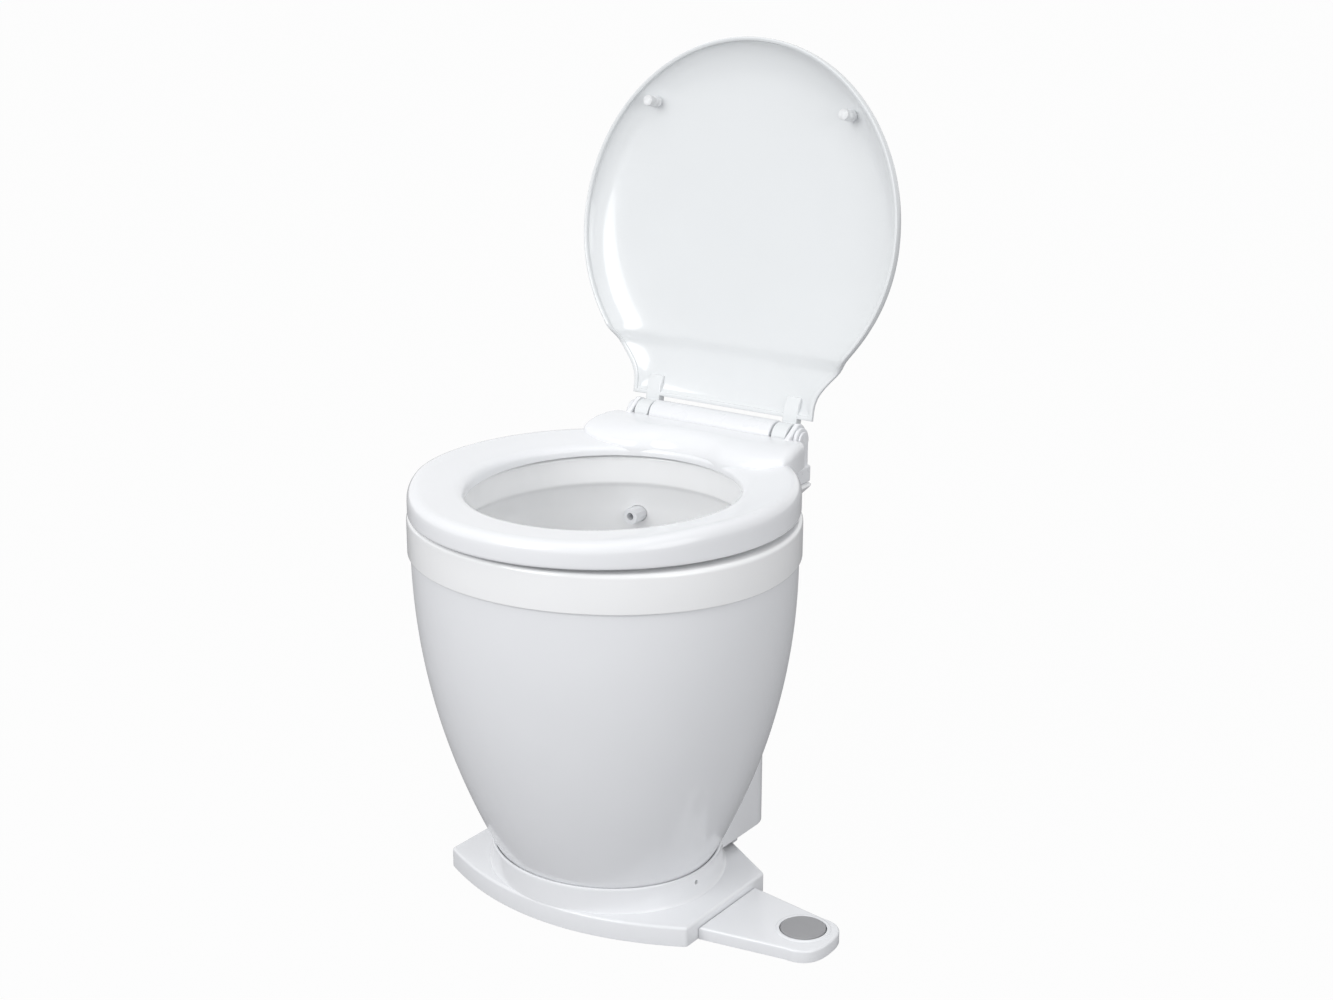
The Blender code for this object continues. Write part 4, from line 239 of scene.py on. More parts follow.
def arc(radius, start, turn, steps):
    """Points of an arc round the origin."""
    angles = [start + turn * step / steps for step in range(steps + 1)]
    return [(radius * math.cos(angle), radius * math.sin(angle)) for angle in angles]


def even(points, count):
    """Spread a closed outline over a fixed number of points."""
    loop = list(points) + [points[0]]
    lengths = [math.dist(a, b) for a, b in zip(loop, loop[1:])]
    total = sum(lengths)
    result, index, passed = [], 0, 0.0
    for step in range(count):
        target = total * step / count
        while passed + lengths[index] < target and index < len(lengths) - 1:
            passed += lengths[index]
            index += 1
        share = (target - passed) / max(lengths[index], 1e-12)
        a, b = loop[index], loop[index + 1]
        result.append(tuple(p + (q - p) * share for p, q in zip(a, b)))
    return result


def edge_levels(low, high, radius, low_radius, steps=6):
    """Insets and heights of a slab with a rounded top edge and a small rounded foot."""
    levels = []
    for step in range(steps + 1):
        angle = math.pi / 2 * step / steps
        levels.append((low_radius * (1 - math.sin(angle)),
                       low + low_radius * (1 - math.cos(angle))))
    for step in range(steps + 1):
        angle = math.pi / 2 * step / steps
        levels.append((radius * (1 - math.cos(angle)), high - radius * (1 - math.sin(angle))))
    return levels


def cut(item, tool_skin):
    """Take the room of a throwaway mesh out of a piece."""
    points, faces = tool_skin
    mesh = bpy.data.meshes.new("tool")
    mesh.from_pydata([tuple(p) for p in points], [], faces)
    bm = bmesh.new()
    bm.from_mesh(mesh)
    bmesh.ops.recalc_face_normals(bm, faces=bm.faces)
    bm.to_mesh(mesh)
    bm.free()
    tool = bpy.data.objects.new("tool", mesh)
    bpy.context.scene.collection.objects.link(tool)
    modifier = item.modifiers.new("cut", "BOOLEAN")
    modifier.operation = "DIFFERENCE"
    modifier.solver = "EXACT"
    modifier.object = tool
    graph = bpy.context.evaluated_depsgraph_get()
    result = bpy.data.meshes.new_from_object(item.evaluated_get(graph))
    item.modifiers.clear()
    item.data = result
    bpy.data.objects.remove(tool, do_unlink=True)
    smooth(item)


def drill(item, start, axis, radius, depth, segments=48):
    """Cut a round hole into a piece."""
    cut(item, turned(start, axis, [(radius, 0), (radius, depth)], segments))


def box_skin(low, high):
    """Skin of a box between two corners."""
    corners = [(low[0], low[1]), (high[0], low[1]), (high[0], high[1]), (low[0], high[1])]
    return skin([raised(corners, z) for z in (low[2], high[2])])


def bevel(item, width):
    """Round the edges of a piece."""
    modifier = item.modifiers.new("bevel", "BEVEL")
    modifier.width = width
    modifier.segments = 4
    modifier.limit_method = "ANGLE"
    modifier.angle_limit = BEVEL_ANGLE


# Materials

def shader_of(name, base, roughness, metallic=0.0, coat=0.0, coat_roughness=0.05, ior=1.45):
    """Make a material, and give it back with its node tree and its shader."""
    material = bpy.data.materials.new(name)
    material.use_nodes = True
    tree = material.node_tree
    shader = tree.nodes["Principled BSDF"]
    shader.inputs["Base Color"].default_value = (*base, 1)
    shader.inputs["Roughness"].default_value = roughness
    shader.inputs["Metallic"].default_value = metallic
    shader.inputs["Coat Weight"].default_value = coat
    shader.inputs["Coat Roughness"].default_value = coat_roughness
    shader.inputs["IOR"].default_value = ior
    return material, tree, shader


def noise(tree, scale, detail, stretch=None):
    """Noise in the piece's own space, squeezed along its axes by a stretch."""
    texture = tree.nodes.new("ShaderNodeTexNoise")
    texture.inputs["Scale"].default_value = scale
    texture.inputs["Detail"].default_value = detail
    place = tree.nodes.new("ShaderNodeTexCoord")
    if stretch:
        mapping = tree.nodes.new("ShaderNodeMapping")
        mapping.inputs["Scale"].default_value = stretch
        tree.links.new(place.outputs["Object"], mapping.inputs["Vector"])
        tree.links.new(mapping.outputs["Vector"], texture.inputs["Vector"])
    else:
        tree.links.new(place.outputs["Object"], texture.inputs["Vector"])
    return texture.outputs["Fac"]


def ramp(tree, value, low, high, target):
    """Drive a number or colour between two values by a texture."""
    node = tree.nodes.new("ShaderNodeValToRGB")
    node.color_ramp.elements[0].position = 0.3
    node.color_ramp.elements[1].position = 0.7
    low = low if isinstance(low, tuple) else (low,) * 3
    high = high if isinstance(high, tuple) else (high,) * 3
    node.color_ramp.elements[0].color = (*low, 1)
    node.color_ramp.elements[1].color = (*high, 1)
    tree.links.new(value, node.inputs["Fac"])
    tree.links.new(node.outputs["Color"], target)


def bump(tree, shader, value, strength, distance):
    """Roughen the skin by a texture."""
    node = tree.nodes.new("ShaderNodeBump")
    node.inputs["Strength"].default_value = strength
    node.inputs["Distance"].default_value = distance
    tree.links.new(value, node.inputs["Height"])
    tree.links.new(node.outputs["Normal"], shader.inputs["Normal"])


def shade(colour, share):
    """Darken or lighten a colour by a share."""
    return tuple(min(channel * share, 1.0) for channel in colour)


def moulded(name, base, roughness, grain=900, strength=0.04, coat=0.0, spread=0.012):
    """Moulded plastic: faint flow marks in its colour and gloss, and a very fine skin."""
    material, tree, shader = shader_of(name, base, roughness, coat=coat)
    flow = noise(tree, scale=7, detail=2)
    gloss = noise(tree, scale=40, detail=4)
    ramp(tree, flow, shade(base, 1 - spread), shade(base, 1 + spread), shader.inputs["Base Color"])
    ramp(tree, gloss, roughness * 0.85, roughness * 1.15, shader.inputs["Roughness"])
    bump(tree, shader, noise(tree, grain, detail=2), strength, distance=0.00005)
    return material


def glazed(name, base):
    """Glaze: clear coat over a slightly uneven body."""
    material, tree, shader = shader_of(name, base, 0.12, coat=0.6, coat_roughness=0.03, ior=1.5)
    body = noise(tree, scale=12, detail=3)
    gloss = noise(tree, scale=30, detail=3)
    ramp(tree, body, shade(base, 0.988), shade(base, 1.008), shader.inputs["Base Color"])
    ramp(tree, gloss, 0.09, 0.16, shader.inputs["Roughness"])
    bump(tree, shader, noise(tree, scale=22, detail=1), strength=0.06, distance=0.0006)
    return material


def metal(name, base, roughness, spread=0.1):
    """Metal with fine tool marks in its colour, gloss and skin."""
    material, tree, shader = shader_of(name, base, roughness, metallic=1.0)
    marks = noise(tree, scale=60, detail=6, stretch=(1, 1, 40))
    ramp(tree, marks, shade(base, 1 - spread), shade(base, 1 + spread), shader.inputs["Base Color"])
    ramp(tree, marks, roughness * 0.8, min(roughness * 1.3, 1), shader.inputs["Roughness"])
    bump(tree, shader, marks, strength=0.12, distance=0.0001)
    return material


def rubber(name, base, roughness=0.65):
    """Rubber with a matt, faintly speckled skin."""
    material, tree, shader = shader_of(name, base, roughness)
    speckle = noise(tree, scale=150, detail=4)
    gloss = noise(tree, scale=60, detail=3)
    ramp(tree, speckle, shade(base, 0.85), shade(base, 1.2), shader.inputs["Base Color"])
    ramp(tree, gloss, roughness * 0.85, roughness * 1.1, shader.inputs["Roughness"])
    bump(tree, shader, noise(tree, scale=1400, detail=3), strength=0.15, distance=0.0001)
    return material


CASING = moulded("casing_white", (0.86, 0.87, 0.89), 0.22, coat=0.35)
SEAT_WHITE = moulded("seat_white", (0.89, 0.90, 0.92), 0.16, coat=0.5, strength=0.02)
# Painted shade: the lid is the same white plastic as the seat, given a darker colour to dim it
# where the lamps light it more.
LID_PAINTED_SHADE_WHITE = moulded("lid_white", (0.81, 0.83, 0.84), 0.18, coat=0.4, strength=0.02)
HINGE_WHITE = moulded("hinge_white", (0.85, 0.86, 0.88), 0.28, coat=0.2)
PLATE_WHITE = moulded("plate_white", (0.80, 0.81, 0.82), 0.5)
GLAZE = glazed("bowl_white", (0.965, 0.97, 0.975))
BUTTON_GREY = moulded("button_grey", (0.335, 0.335, 0.345), 0.42, grain=2200, strength=0.25,
                      spread=0.04)
PAD_WHITE = rubber("pad_white", (0.80, 0.81, 0.82), 0.5)
BLACK_RUBBER = rubber("rubber_black", (0.03, 0.03, 0.032))
PUMP_BLACK = moulded("pump_black", (0.05, 0.05, 0.055), 0.45, grain=700, strength=0.3,
                     spread=0.15)
MOTOR_BLACK = moulded("motor_black", (0.045, 0.045, 0.05), 0.35, grain=500, strength=0.3,
                      spread=0.15)
VALVE_BLUE = moulded("valve_blue", (0.08, 0.16, 0.36), 0.4, grain=700, strength=0.2, spread=0.08)
STEEL = metal("steel", (0.62, 0.62, 0.60), 0.3)
BRONZE = metal("bronze", (0.55, 0.36, 0.16), 0.35)


def dress(item, material):
    """Give a piece its only material."""
    item.data.materials.clear()
    item.data.materials.append(material)


# Casing and bowl

def shell_level(z, growth):
    """Level of the casing at a height."""
    share = (z - FOOT_Z) / (SHELL_TOP - FOOT_Z)
    taper = (SHELL[0] - FOOT_HALF) * max(1 - share, 0) ** TAPER_POWER
    scale = (SHELL[0] - taper) / SHELL[0]
    return (*[size * scale + growth for size in SHELL], CENTRE_Y + FOOT_SHIFT * (1 - share), z)


def make_casing():
    """The tapering shell, with a lip inside the band and a service opening at the rear."""
    lip_outside, lip_inside, lip_top, lip_low = -0.0095, -0.0125, 0.354, 0.3412
    heights = [SHELL_LOW + (SHELL_TOP - SHELL_LOW) * step / 44 for step in range(45)]
    levels = [shell_level(z, 0) for z in heights]
    levels += [grown(BAND, growth, CENTRE_Y, z)
               for growth, z in ((lip_outside, SHELL_TOP), (lip_outside, lip_top),
                                 (lip_inside, lip_top), (lip_inside, lip_low))]
    levels += [shell_level(z, -SHELL_WALL) for z in heights[-2::-2]]
    shell = mesh_object("casing_shell", *skin(ovals(levels), closed=True), "base", "outer_shell")
    cut(shell, box_skin((-0.077, 0.041, 0.026), (0.077, 0.2, 0.170)))
    dress(shell, CASING)


def bowl_level(share, growth, drop=0.0):
    """Level of the bowl's wall, from its top to its throat."""
    z = WELL_TOP + (THROAT_TOP - WELL_TOP) * share
    widest, bend, fall = 1.08, 2.2, 0.6
    scale = widest * max(1 - share ** bend, 0) ** fall
    centre = CENTRE_Y + (THROAT_Y - CENTRE_Y) * share
    sizes = [max(size * scale, THROAT_RADIUS) + growth for size in RIM]
    return (*sizes, centre, z - drop, 0.0, 0.0)


def make_bowl():
    """The bowl with its band and its beaded rim, and the nozzle's hole in it."""
    bead_low, band_wall, band_ceiling, throat_outside = 0.3625, 0.008, 0.374, 0.034
    corners = [grown(BAND, 0, CENTRE_Y, BAND_LOW), grown(BAND, 0, CENTRE_Y, BAND_TOP),
               grown(RIM, 0.0085, CENTRE_Y, BAND_TOP),
               grown(RIM, 0.0065, CENTRE_Y, RIM_TOP, RIM_LIFT),
               grown(RIM, 0, CENTRE_Y, RIM_TOP, RIM_LIFT),
               grown(RIM, 0, CENTRE_Y, bead_low, RIM_LIFT),
               grown(RIM, 0.0045, CENTRE_Y, 0.357, RIM_LIFT)]
    radii = [0.0015, 0.0045, 0.002, 0.004, 0.004, 0.002, 0.002]
    walls = [bowl_level(step / 30, 0) for step in range(30)]
    for radius, z in ((THROAT_RADIUS, THROAT_TOP), (THROAT_RADIUS, THROAT_LOW),
                      (throat_outside, THROAT_LOW), (throat_outside, 0.128)):
        walls.append((radius, radius, radius, THROAT_Y, z, 0.0, 0.0))
    walls += [bowl_level(1 - step / 16, growth=0.008, drop=0.004) for step in range(1, 17)]
    walls += [grown(RIM, 0.020, CENTRE_Y, band_ceiling),
              grown(BAND, -band_wall, CENTRE_Y, band_ceiling),
              grown(BAND, -band_wall, CENTRE_Y, BAND_LOW)]
    levels = arc_through(corners + walls, radii + [0] * len(walls), steps=6, plane=(0, 4))
    bowl = mesh_object("bowl_glazed", *skin(ovals(levels), closed=True), "base", "bowl")
    drill(bowl, (-0.058, 0.116, 0.336), (0, 1, 0), radius=0.0088, depth=0.036)
    dress(bowl, GLAZE)


def shelf_plan(inset):
    """Plan of the shelf for the hinge, drawn in from its sides and its rear."""
    half, front, rear = SHELF_HALF - inset, 0.11, SHELF_REAR_Y - inset
    return arc_through([(-half, front), (half, front), (half, rear), (-half, rear)],
                       [0, 0, 0.008, 0.008], steps=8)


def make_shelf():
    """The flat shelf behind the band that carries the hinge."""
    levels = ((0.0105, 0.367), (0.0095, 0.3672), (0.001, 0.3775), (0, 0.379), (0, 0.3802),
              (0.0006, 0.3813), (0.002, 0.3817))
    shelf = mesh_object("hinge_shelf", *slab(shelf_plan, levels), "base")
    band = [grown(BAND, -0.006, CENTRE_Y, z) for z in (0.355, 0.40)]
    cut(shelf, skin(ovals(band)))
    dress(shelf, GLAZE)


# Plinth, cover and foot switch

def plinth_plan():
    """Plan of the plinth: a bowed front, straight sides and a narrow rear."""
    corner_y, sag = -0.069, 0.039
    front = [(PLINTH_HALF * step / 24, corner_y - sag * (1 - (step / 24) ** 2))
             for step in range(1, 25)]
    right = front + [(PLINTH_HALF, 0.066), (0.0625, 0.1165), (0.0625, 0.145)]
    left = [(-x, y) for x, y in reversed(right)]
    points = [(0, corner_y - sag)] + right + left
    radii = [0] * len(points)
    for index, (x, y) in enumerate(points):
        if abs(abs(x) - PLINTH_HALF) < 1e-6:
            radii[index] = 0.003
        elif y > 0.11:
            radii[index] = 0.004
    return arc_through(points, radii, steps=5)


def offset(plan, inset):
    """Draw a plan in along its own normals."""
    count = len(plan)
    area = sum(a[0] * b[1] - b[0] * a[1] for a, b in zip(plan, plan[1:] + plan[:1]))
    turn = 1 if area > 0 else -1
    result = []
    for index in range(count):
        before, point, after = plan[index - 1], plan[index], plan[(index + 1) % count]
        normals = []
        for a, b in ((before, point), (point, after)):
            dx, dy = b[0] - a[0], b[1] - a[1]
            length = math.hypot(dx, dy) or 1e-9
            normals.append((-dy / length * turn, dx / length * turn))
        nx, ny = normals[0][0] + normals[1][0], normals[0][1] + normals[1][1]
        length = math.hypot(nx, ny) or 1e-9
        nx, ny = nx / length, ny / length
        spread = max(nx * normals[0][0] + ny * normals[0][1], 0.5)
        result.append((point[0] + nx * inset / spread, point[1] + ny * inset / spread))
    return result


def make_plinth():
    """The plinth's plate, and the flared collar round the casing's foot."""
    plan = plinth_plan()
    levels = edge_levels(0.0, PLINTH_TOP, 0.0028, 0.0006)
    base = mesh_object("plinth_plate", *slab(lambda inset: offset(plan, inset), levels),
                       "base", "plinth")
    share = FOOT_HALF / SHELL[0]
    beyond = 0.0036
    sizes = (FOOT_HALF + beyond, SHELL[1] * share + beyond, SHELL[2] * share + beyond)
    centre = CENTRE_Y + FOOT_SHIFT

    def collar(flare, z):
        """Level of the collar, flared at its sides and its rear only."""
        return (sizes[0] + flare, sizes[1] + min(flare, 0.0), sizes[2] + flare, centre, z)

    outer = spline([collar(0.0045, 0.0195), collar(0.0022, 0.0225), collar(0.0010, 0.029),
                    collar(0.0002, 0.038), collar(0, 0.0432)], 5)
    inner = [collar(-0.0004, 0.0444), collar(-0.0014, 0.045), collar(-0.0028, 0.0448),
             collar(-0.0033, 0.0443), collar(-0.0033, 0.0205)]
    ring = mesh_object("plinth_collar", *skin(ovals(outer + inner), closed=True), "base")
    cut(ring, box_skin((-0.0906, 0.020, 0.0274), (0.0906, 0.145, 0.055)))
    for side in (-1, 1):
        drill(ring, (side * 0.09, -0.013, 0.035), (side, 0, 0), radius=0.0023, depth=0.05,
              segments=32)
    for item in (base, ring):
        dress(item, CASING)


def cover_plan(inset):
    """Plan of the rear cover, with rounded rear corners."""
    half, rear, corner = 0.090 - inset, 0.166 - inset, max(0.030 - inset, 0.001)
    right = [(half, 0.020)]
    for x, y in arc(corner, 0, math.pi / 2, 16):
        right.append((half - corner + x, rear - corner + y))
    return right + [(-x, y) for x, y in reversed(right)]


COVER_HOLES = (  # x, z and radius
    (-0.018, 0.052, 0.0178),  # discharge
    (0.046, 0.095, 0.0083),  # water inlet
    (-0.060, 0.085, 0.0058),  # lead
    (0.050, 0.182, 0.0023),  # screws
    (-0.050, 0.182, 0.0023),
)


def make_rear_cover():
    """The hollow cover behind the casing, fitted to it and open where the outlets pass."""
    levels = edge_levels(COVER_LOW, COVER_TOP, 0.007, 0.0008, 8)
    cover = mesh_object("rear_housing", *slab(cover_plan, levels), "base", "rear_cover")
    hollow = [(x, y - (0.02 if y < 0.03 else 0)) for x, y in cover_plan(0.003)]
    cut(cover, skin([raised(hollow, z) for z in (0.018, 0.199)]))
    casing = ovals([shell_level(0.020 + 0.195 * step / 24, 0.0006) for step in range(25)])
    cut(cover, skin(casing))
    for x, z, radius in COVER_HOLES:
        drill(cover, (x, 0.153, z), (0, 1, 0), radius, depth=0.03)
    dress(cover, CASING)


def tongue_plan():
    """Plan of the foot switch's tongue, from the plinth to its blunt round end."""
    start_x, end_x, length, middle_y, half = 0.1436, 0.2290, 0.0295, -0.001, 0.0345
    bluntness = 2 / 2.6
    points = [(start_x, -0.050)]
    for step in range(41):
        angle = math.pi * step / 40 - math.pi / 2
        along = abs(math.cos(angle)) ** bluntness
        across = math.copysign(abs(math.sin(angle)) ** bluntness, math.sin(angle))
        points.append((end_x + length * along, middle_y + half * across))
    points.append((start_x, 0.048))
    return points


def make_foot_switch():
    """The hollow tongue with a lip round its button, and the button's cap."""
    plan = tongue_plan()
    levels = edge_levels(0.0, TONGUE_TOP, 0.0024, 0.0005)
    housing = mesh_object("foot_switch_tongue", *slab(lambda inset: offset(plan, inset), levels),
                          "base", "footswitch_housing")
    lip = [(0.0262, 0.0105), (0.0262, 0.0126), (0.0257, 0.0132), (0.0249, 0.0135),
           (0.0232, 0.0135), (0.0225, 0.0132), (BUTTON_WELL, 0.0126), (BUTTON_WELL, 0.0105)]
    ring = mesh_object("foot_switch_lip", *turned(BUTTON, (0, 0, 1), lip, 96, hollow=True), "base")
    inside = offset(plan, 0.0025)
    cut(housing, skin([raised(inside, z) for z in (-0.01, 0.010)]))
    drill(housing, BUTTON, (0, 0, 1), BUTTON_WELL, depth=0.03, segments=96)
    for item in (housing, ring):
        dress(item, CASING)
    cap_radius, cap_edge, edge_radius, crown = 0.0215, 0.0131, 0.0011, 0.0008
    top = [(0.0025, 0.0083), (0.0025, 0.0115), (0.0185, 0.0115), (0.0185, 0.0087),
           (0.0235, 0.0087), (0.0235, 0.0097), (cap_radius, 0.0097), (cap_radius, cap_edge)]
    for step in range(1, 7):
        angle = math.pi / 2 * step / 6
        top.append((cap_radius - edge_radius * (1 - math.cos(angle)),
                    cap_edge + edge_radius * math.sin(angle)))
    for step in range(1, 17):
        share = 1 - step / 17
        top.append((0.0204 * share, 0.0142 + crown * (1 - share ** 2)))
    button = mesh_object("foot_button_cap", *turned(BUTTON, (0, 0, 1), top, 96),
                         "button", "foot_button")
    dress(button, BUTTON_GREY)


# Seat

# The right half of the deck's foot, from its middle at the front round to its rear: x, y, how far
# it runs back and narrows by the top, and the share of the height at which that starts
DECK_ROWS = ((0, 0.1290, 0.0230, 0, 0.1), (0.0296, 0.1255, 0.0250, 0, 0.1),
             (0.0563, 0.1149, 0.0320, 0, 0.15), (0.0879, 0.1130, 0.0400, 0.0037, 0.35),
             (0.1150, 0.1215, 0.0350, 0.0090, 0.5), (0.1210, 0.1330, 0.0240, 0.0100, 0.55),
             (0.1200, 0.1500, 0.0130, 0.0080, 0.6), (0.1150, 0.1722, 0, 0.0060, 0.6))


def deck_plan(height):
    """Plan of the raised deck at a share of its height, curving back and in above its foot."""
    right = []
    for x, y, run, narrow, foot in DECK_ROWS:
        risen = max(height - foot, 0) / (1 - foot)
        back = 1 - math.sqrt(max(1 - risen ** 2, 0))
        right.append((x - narrow * back, y + run * back))
    points = right[::-1] + [(-x, y) for x, y in right[1:]]
    return even(spline(points, steps=14), count=300)


def make_seat():
    """The seat's ring over the rim, its raised deck and its two hinge shoulders."""
    recess = (RIM[0] + 0.010, RIM[1] + 0.010, RIM[2] + 0.020)
    corners = [grown(SEAT_OUTER, 0, 0, SEAT_LOW), grown(SEAT_OUTER, 0, 0, 0.4107, 0, 0.008),
               grown(SEAT_INNER, 0, 0, 0.4077, 0.003),
               grown(SEAT_INNER, 0, 0, SEAT_CEILING, RIM_LIFT),
               grown(recess, 0, CENTRE_Y, SEAT_CEILING, RIM_LIFT),
               grown(recess, 0, CENTRE_Y, SEAT_LOW)]
    levels = arc_through(corners, [0.003, 0.013, 0.010, 0.002, 0.001, 0.001], steps=8,
                         plane=(0, 4))
    ring = mesh_object("seat_ring", *skin(ovals(levels), closed=True), "seat", "seat")
    cut(ring, box_skin((-0.2, SEAT_REAR_Y, 0.37), (0.2, 0.25, 0.45)))
    heights = [math.sin(math.pi / 2 * step / 30) for step in range(31)]
    rings = [raised(deck_plan(height), DECK_LOW + DECK_HEIGHT * height) for height in heights]
    deck = mesh_object("seat_deck", *skin(rings), "seat")
    pieces = [ring, deck]
    shoulder = arc(BARREL_RADIUS, -math.pi / 2, math.pi, 40) + [(-0.020, 0.0030), (-0.020, -0.010)]
    for side, name in ((-1, "seat_arm_left"), (1, "seat_arm_right")):
        arm = mesh_object(name, *plate(shoulder, side * 0.0928, side * 0.0980, AXIS), "seat")
        bevel(arm, 0.0012)
        pieces.append(arm)
    for item in pieces:
        dress(item, SEAT_WHITE)


# Lid, made closed about the hinge axis and then opened. A reach is a distance from the axis.

BELLY_MIDDLE = 0.196
BELLY_FRONT = 0.189
BELLY_REAR = 0.176
BELLY_HALF = 0.184
NECK_HALF = 0.108
NECK_REACH, NECK_RUN = 0.065, 0.090  # where the neck gives way to the belly, and over what run
BLEND_POWER = 8
TAIL_REACH = 0.019
SKIRT_LOW = -0.0070
SKIRT_RISE = 0.0115
SKIRT_REACH, SKIRT_RUN = 0.085, 0.017  # where the skirt rises toward the tail, and over what run
DOME_TOP = 0.0140
PAD_X = 0.114
PAD_REACH = 0.316


def lid_half(reach, inset):
    """Half width of the lid at a reach: a round belly blended into a neck."""
    belly_reach = (BELLY_FRONT if reach > BELLY_MIDDLE else BELLY_REAR) - inset
    off = min(abs(reach - BELLY_MIDDLE) / belly_reach, 1.0)
    belly = max(BELLY_HALF - inset, 0) * math.sqrt(1 - off * off)
    neck = max(NECK_HALF - inset, 0) * (1 - ease((reach - NECK_REACH) / NECK_RUN))
    return (belly ** BLEND_POWER + neck ** BLEND_POWER) ** (1 / BLEND_POWER)


def lid_ring(inset, share):
    """Ring of the lid drawn in from its edge, at a share of the way from skirt to dome."""
    front, tail = BELLY_FRONT - inset, TAIL_REACH + inset
    reaches = [BELLY_MIDDLE + front * math.cos(math.pi / 2 * step / 44) for step in range(44)]
    reaches += [BELLY_MIDDLE + (tail - BELLY_MIDDLE) * step / 48 for step in range(49)]
    right = [(lid_half(reach, inset), -reach) for reach in reaches[1:]]
    outline = [(0, -reaches[0])] + right + [(-x, y) for x, y in reversed(right)]
    ring = []
    for x, y in outline:
        skirt = SKIRT_LOW + SKIRT_RISE * ease((SKIRT_REACH + y) / SKIRT_RUN)
        ring.append(Vector((x, y, skirt + (DOME_TOP - skirt) * share)))
    return ring


def opened(points):
    """Turn points about the hinge axis to where the open lid rests."""
    turn = Matrix.Rotation(-OPEN_ANGLE, 3, "X")
    return [AXIS + turn @ Vector(p) for p in points]


def make_lid():
    """The lid's shell, from (inset, share) pairs under, round and over its edge, and its lugs."""
    inner = spline([(0.060, 0.87), (0.040, 0.82), (0.021, 0.68), (0.010, 0.46), (0.0042, 0.2)], 4)
    edge = [(0.0040, 0.03), (0.0034, 0.0), (0.0018, -0.02), (0.0006, 0.0), (0.0002, 0.05)]
    outer = spline([(0.0, 0.32), (0.004, 0.64), (0.014, 0.87), (0.034, 0.99), (0.060, 1.04)], 4)
    points, faces = skin([lid_ring(inset, share) for inset, share in inner + edge + outer])
    lid = mesh_object("lid_dome", opened(points), faces, "lid", "lid")
    pieces = [lid]
    outline = arc(0.0145, -math.pi * 1.1, math.pi * 1.6, 48)
    outline += [(-0.030, 0.0138), (-0.040, 0.0128), (-0.040, 0.0085), (-0.030, 0.0046),
                (-0.0165, 0.0040)]
    for side, name in ((-1, "lid_lug_left"), (1, "lid_lug_right")):
        points, faces = plate(outline, side * 0.0745, side * 0.0910)
        lug = mesh_object(name, opened(points), faces, "lid")
        bevel(lug, 0.0018)
        pieces.append(lug)
    for item in pieces:
        dress(item, LID_PAINTED_SHADE_WHITE)


def make_buffers():
    """The two round pads under the lid."""
    profile = [(0.0055, 0.0), (0.0055, 0.0163), (0.0052, 0.0170), (0.0045, 0.0173)]
    for side, name in ((-1, "left"), (1, "right")):
        points, faces = turned((side * PAD_X, -PAD_REACH, 0.0046), (0, 0, -1), profile, 48)
        pad = mesh_object("lid_pad_" + name, opened(points), faces, "lid", "lid_buffer_" + name)
        dress(pad, PAD_WHITE)


# Hinge

BRACKET_INNER_X, BRACKET_OUTER_X = 0.084, 0.106
BRACKET_FRONT_Y, BRACKET_REAR_Y = 0.1755, 0.2005
BRACKET_LOW_Z, BRACKET_TOP_Z = 0.3823, 0.3995
BOLT_X, BOLT_Y = 0.0925, 0.187
EAR_INNER_X, EAR_OUTER_X = 0.0985, 0.1025
EAR_RADIUS = 0.012
EAR_DROP = 0.0285


def make_hinge():
    """The barrel, and on each side a foot round its bolt, an upright ear and the pin's cap."""
    ends = arc_through([(0.0040, -BARREL_HALF), (BARREL_RADIUS, -BARREL_HALF),
                        (BARREL_RADIUS, BARREL_HALF), (0.0040, BARREL_HALF)],
                       [0, 0.0015, 0.0015, 0], steps=5)
    barrel = mesh_object("damper_tube", *turned(AXIS, (1, 0, 0), ends, 96, hollow=True),
                         "base", "damper_barrel")
    dress(barrel, HINGE_WHITE)
    upright = arc(EAR_RADIUS, 0, math.pi, 40) + [(-EAR_RADIUS, -EAR_DROP), (EAR_RADIUS, -EAR_DROP)]
    cap = arc_through([(0.0045, 0.0003), (0.0085, 0.0003), (0.0085, 0.0025), (0.0045, 0.0025)],
                      [0, 0, 0.0009, 0], steps=5, closed=False)
    for side, name in ((-1, "left"), (1, "right")):
        low, high = sorted((side * BRACKET_INNER_X, side * BRACKET_OUTER_X))
        block = box_skin((low, BRACKET_FRONT_Y, BRACKET_LOW_Z),
                         (high, BRACKET_REAR_Y, BRACKET_TOP_Z))
        foot = mesh_object("hinge_foot_" + name, *block, "base", "hinge_bracket_" + name)
        drill(foot, (side * BOLT_X, BOLT_Y, 0.38), (0, 0, 1), radius=0.0050, depth=0.04)
        bevel(foot, 0.0022)
        ear = mesh_object("hinge_ear_" + name,
                          *plate(upright, side * EAR_INNER_X, side * EAR_OUTER_X, AXIS), "base")
        bevel(ear, 0.0010)
        start = AXIS + Vector((side * EAR_OUTER_X, 0, 0))
        disc = mesh_object("hinge_disc_" + name, *turned(start, (side, 0, 0), cap, 64),
                           "base", "hinge_cap_" + name)
        for item in (foot, ear, disc):
            dress(item, HINGE_WHITE)


# Solids that keep their shape

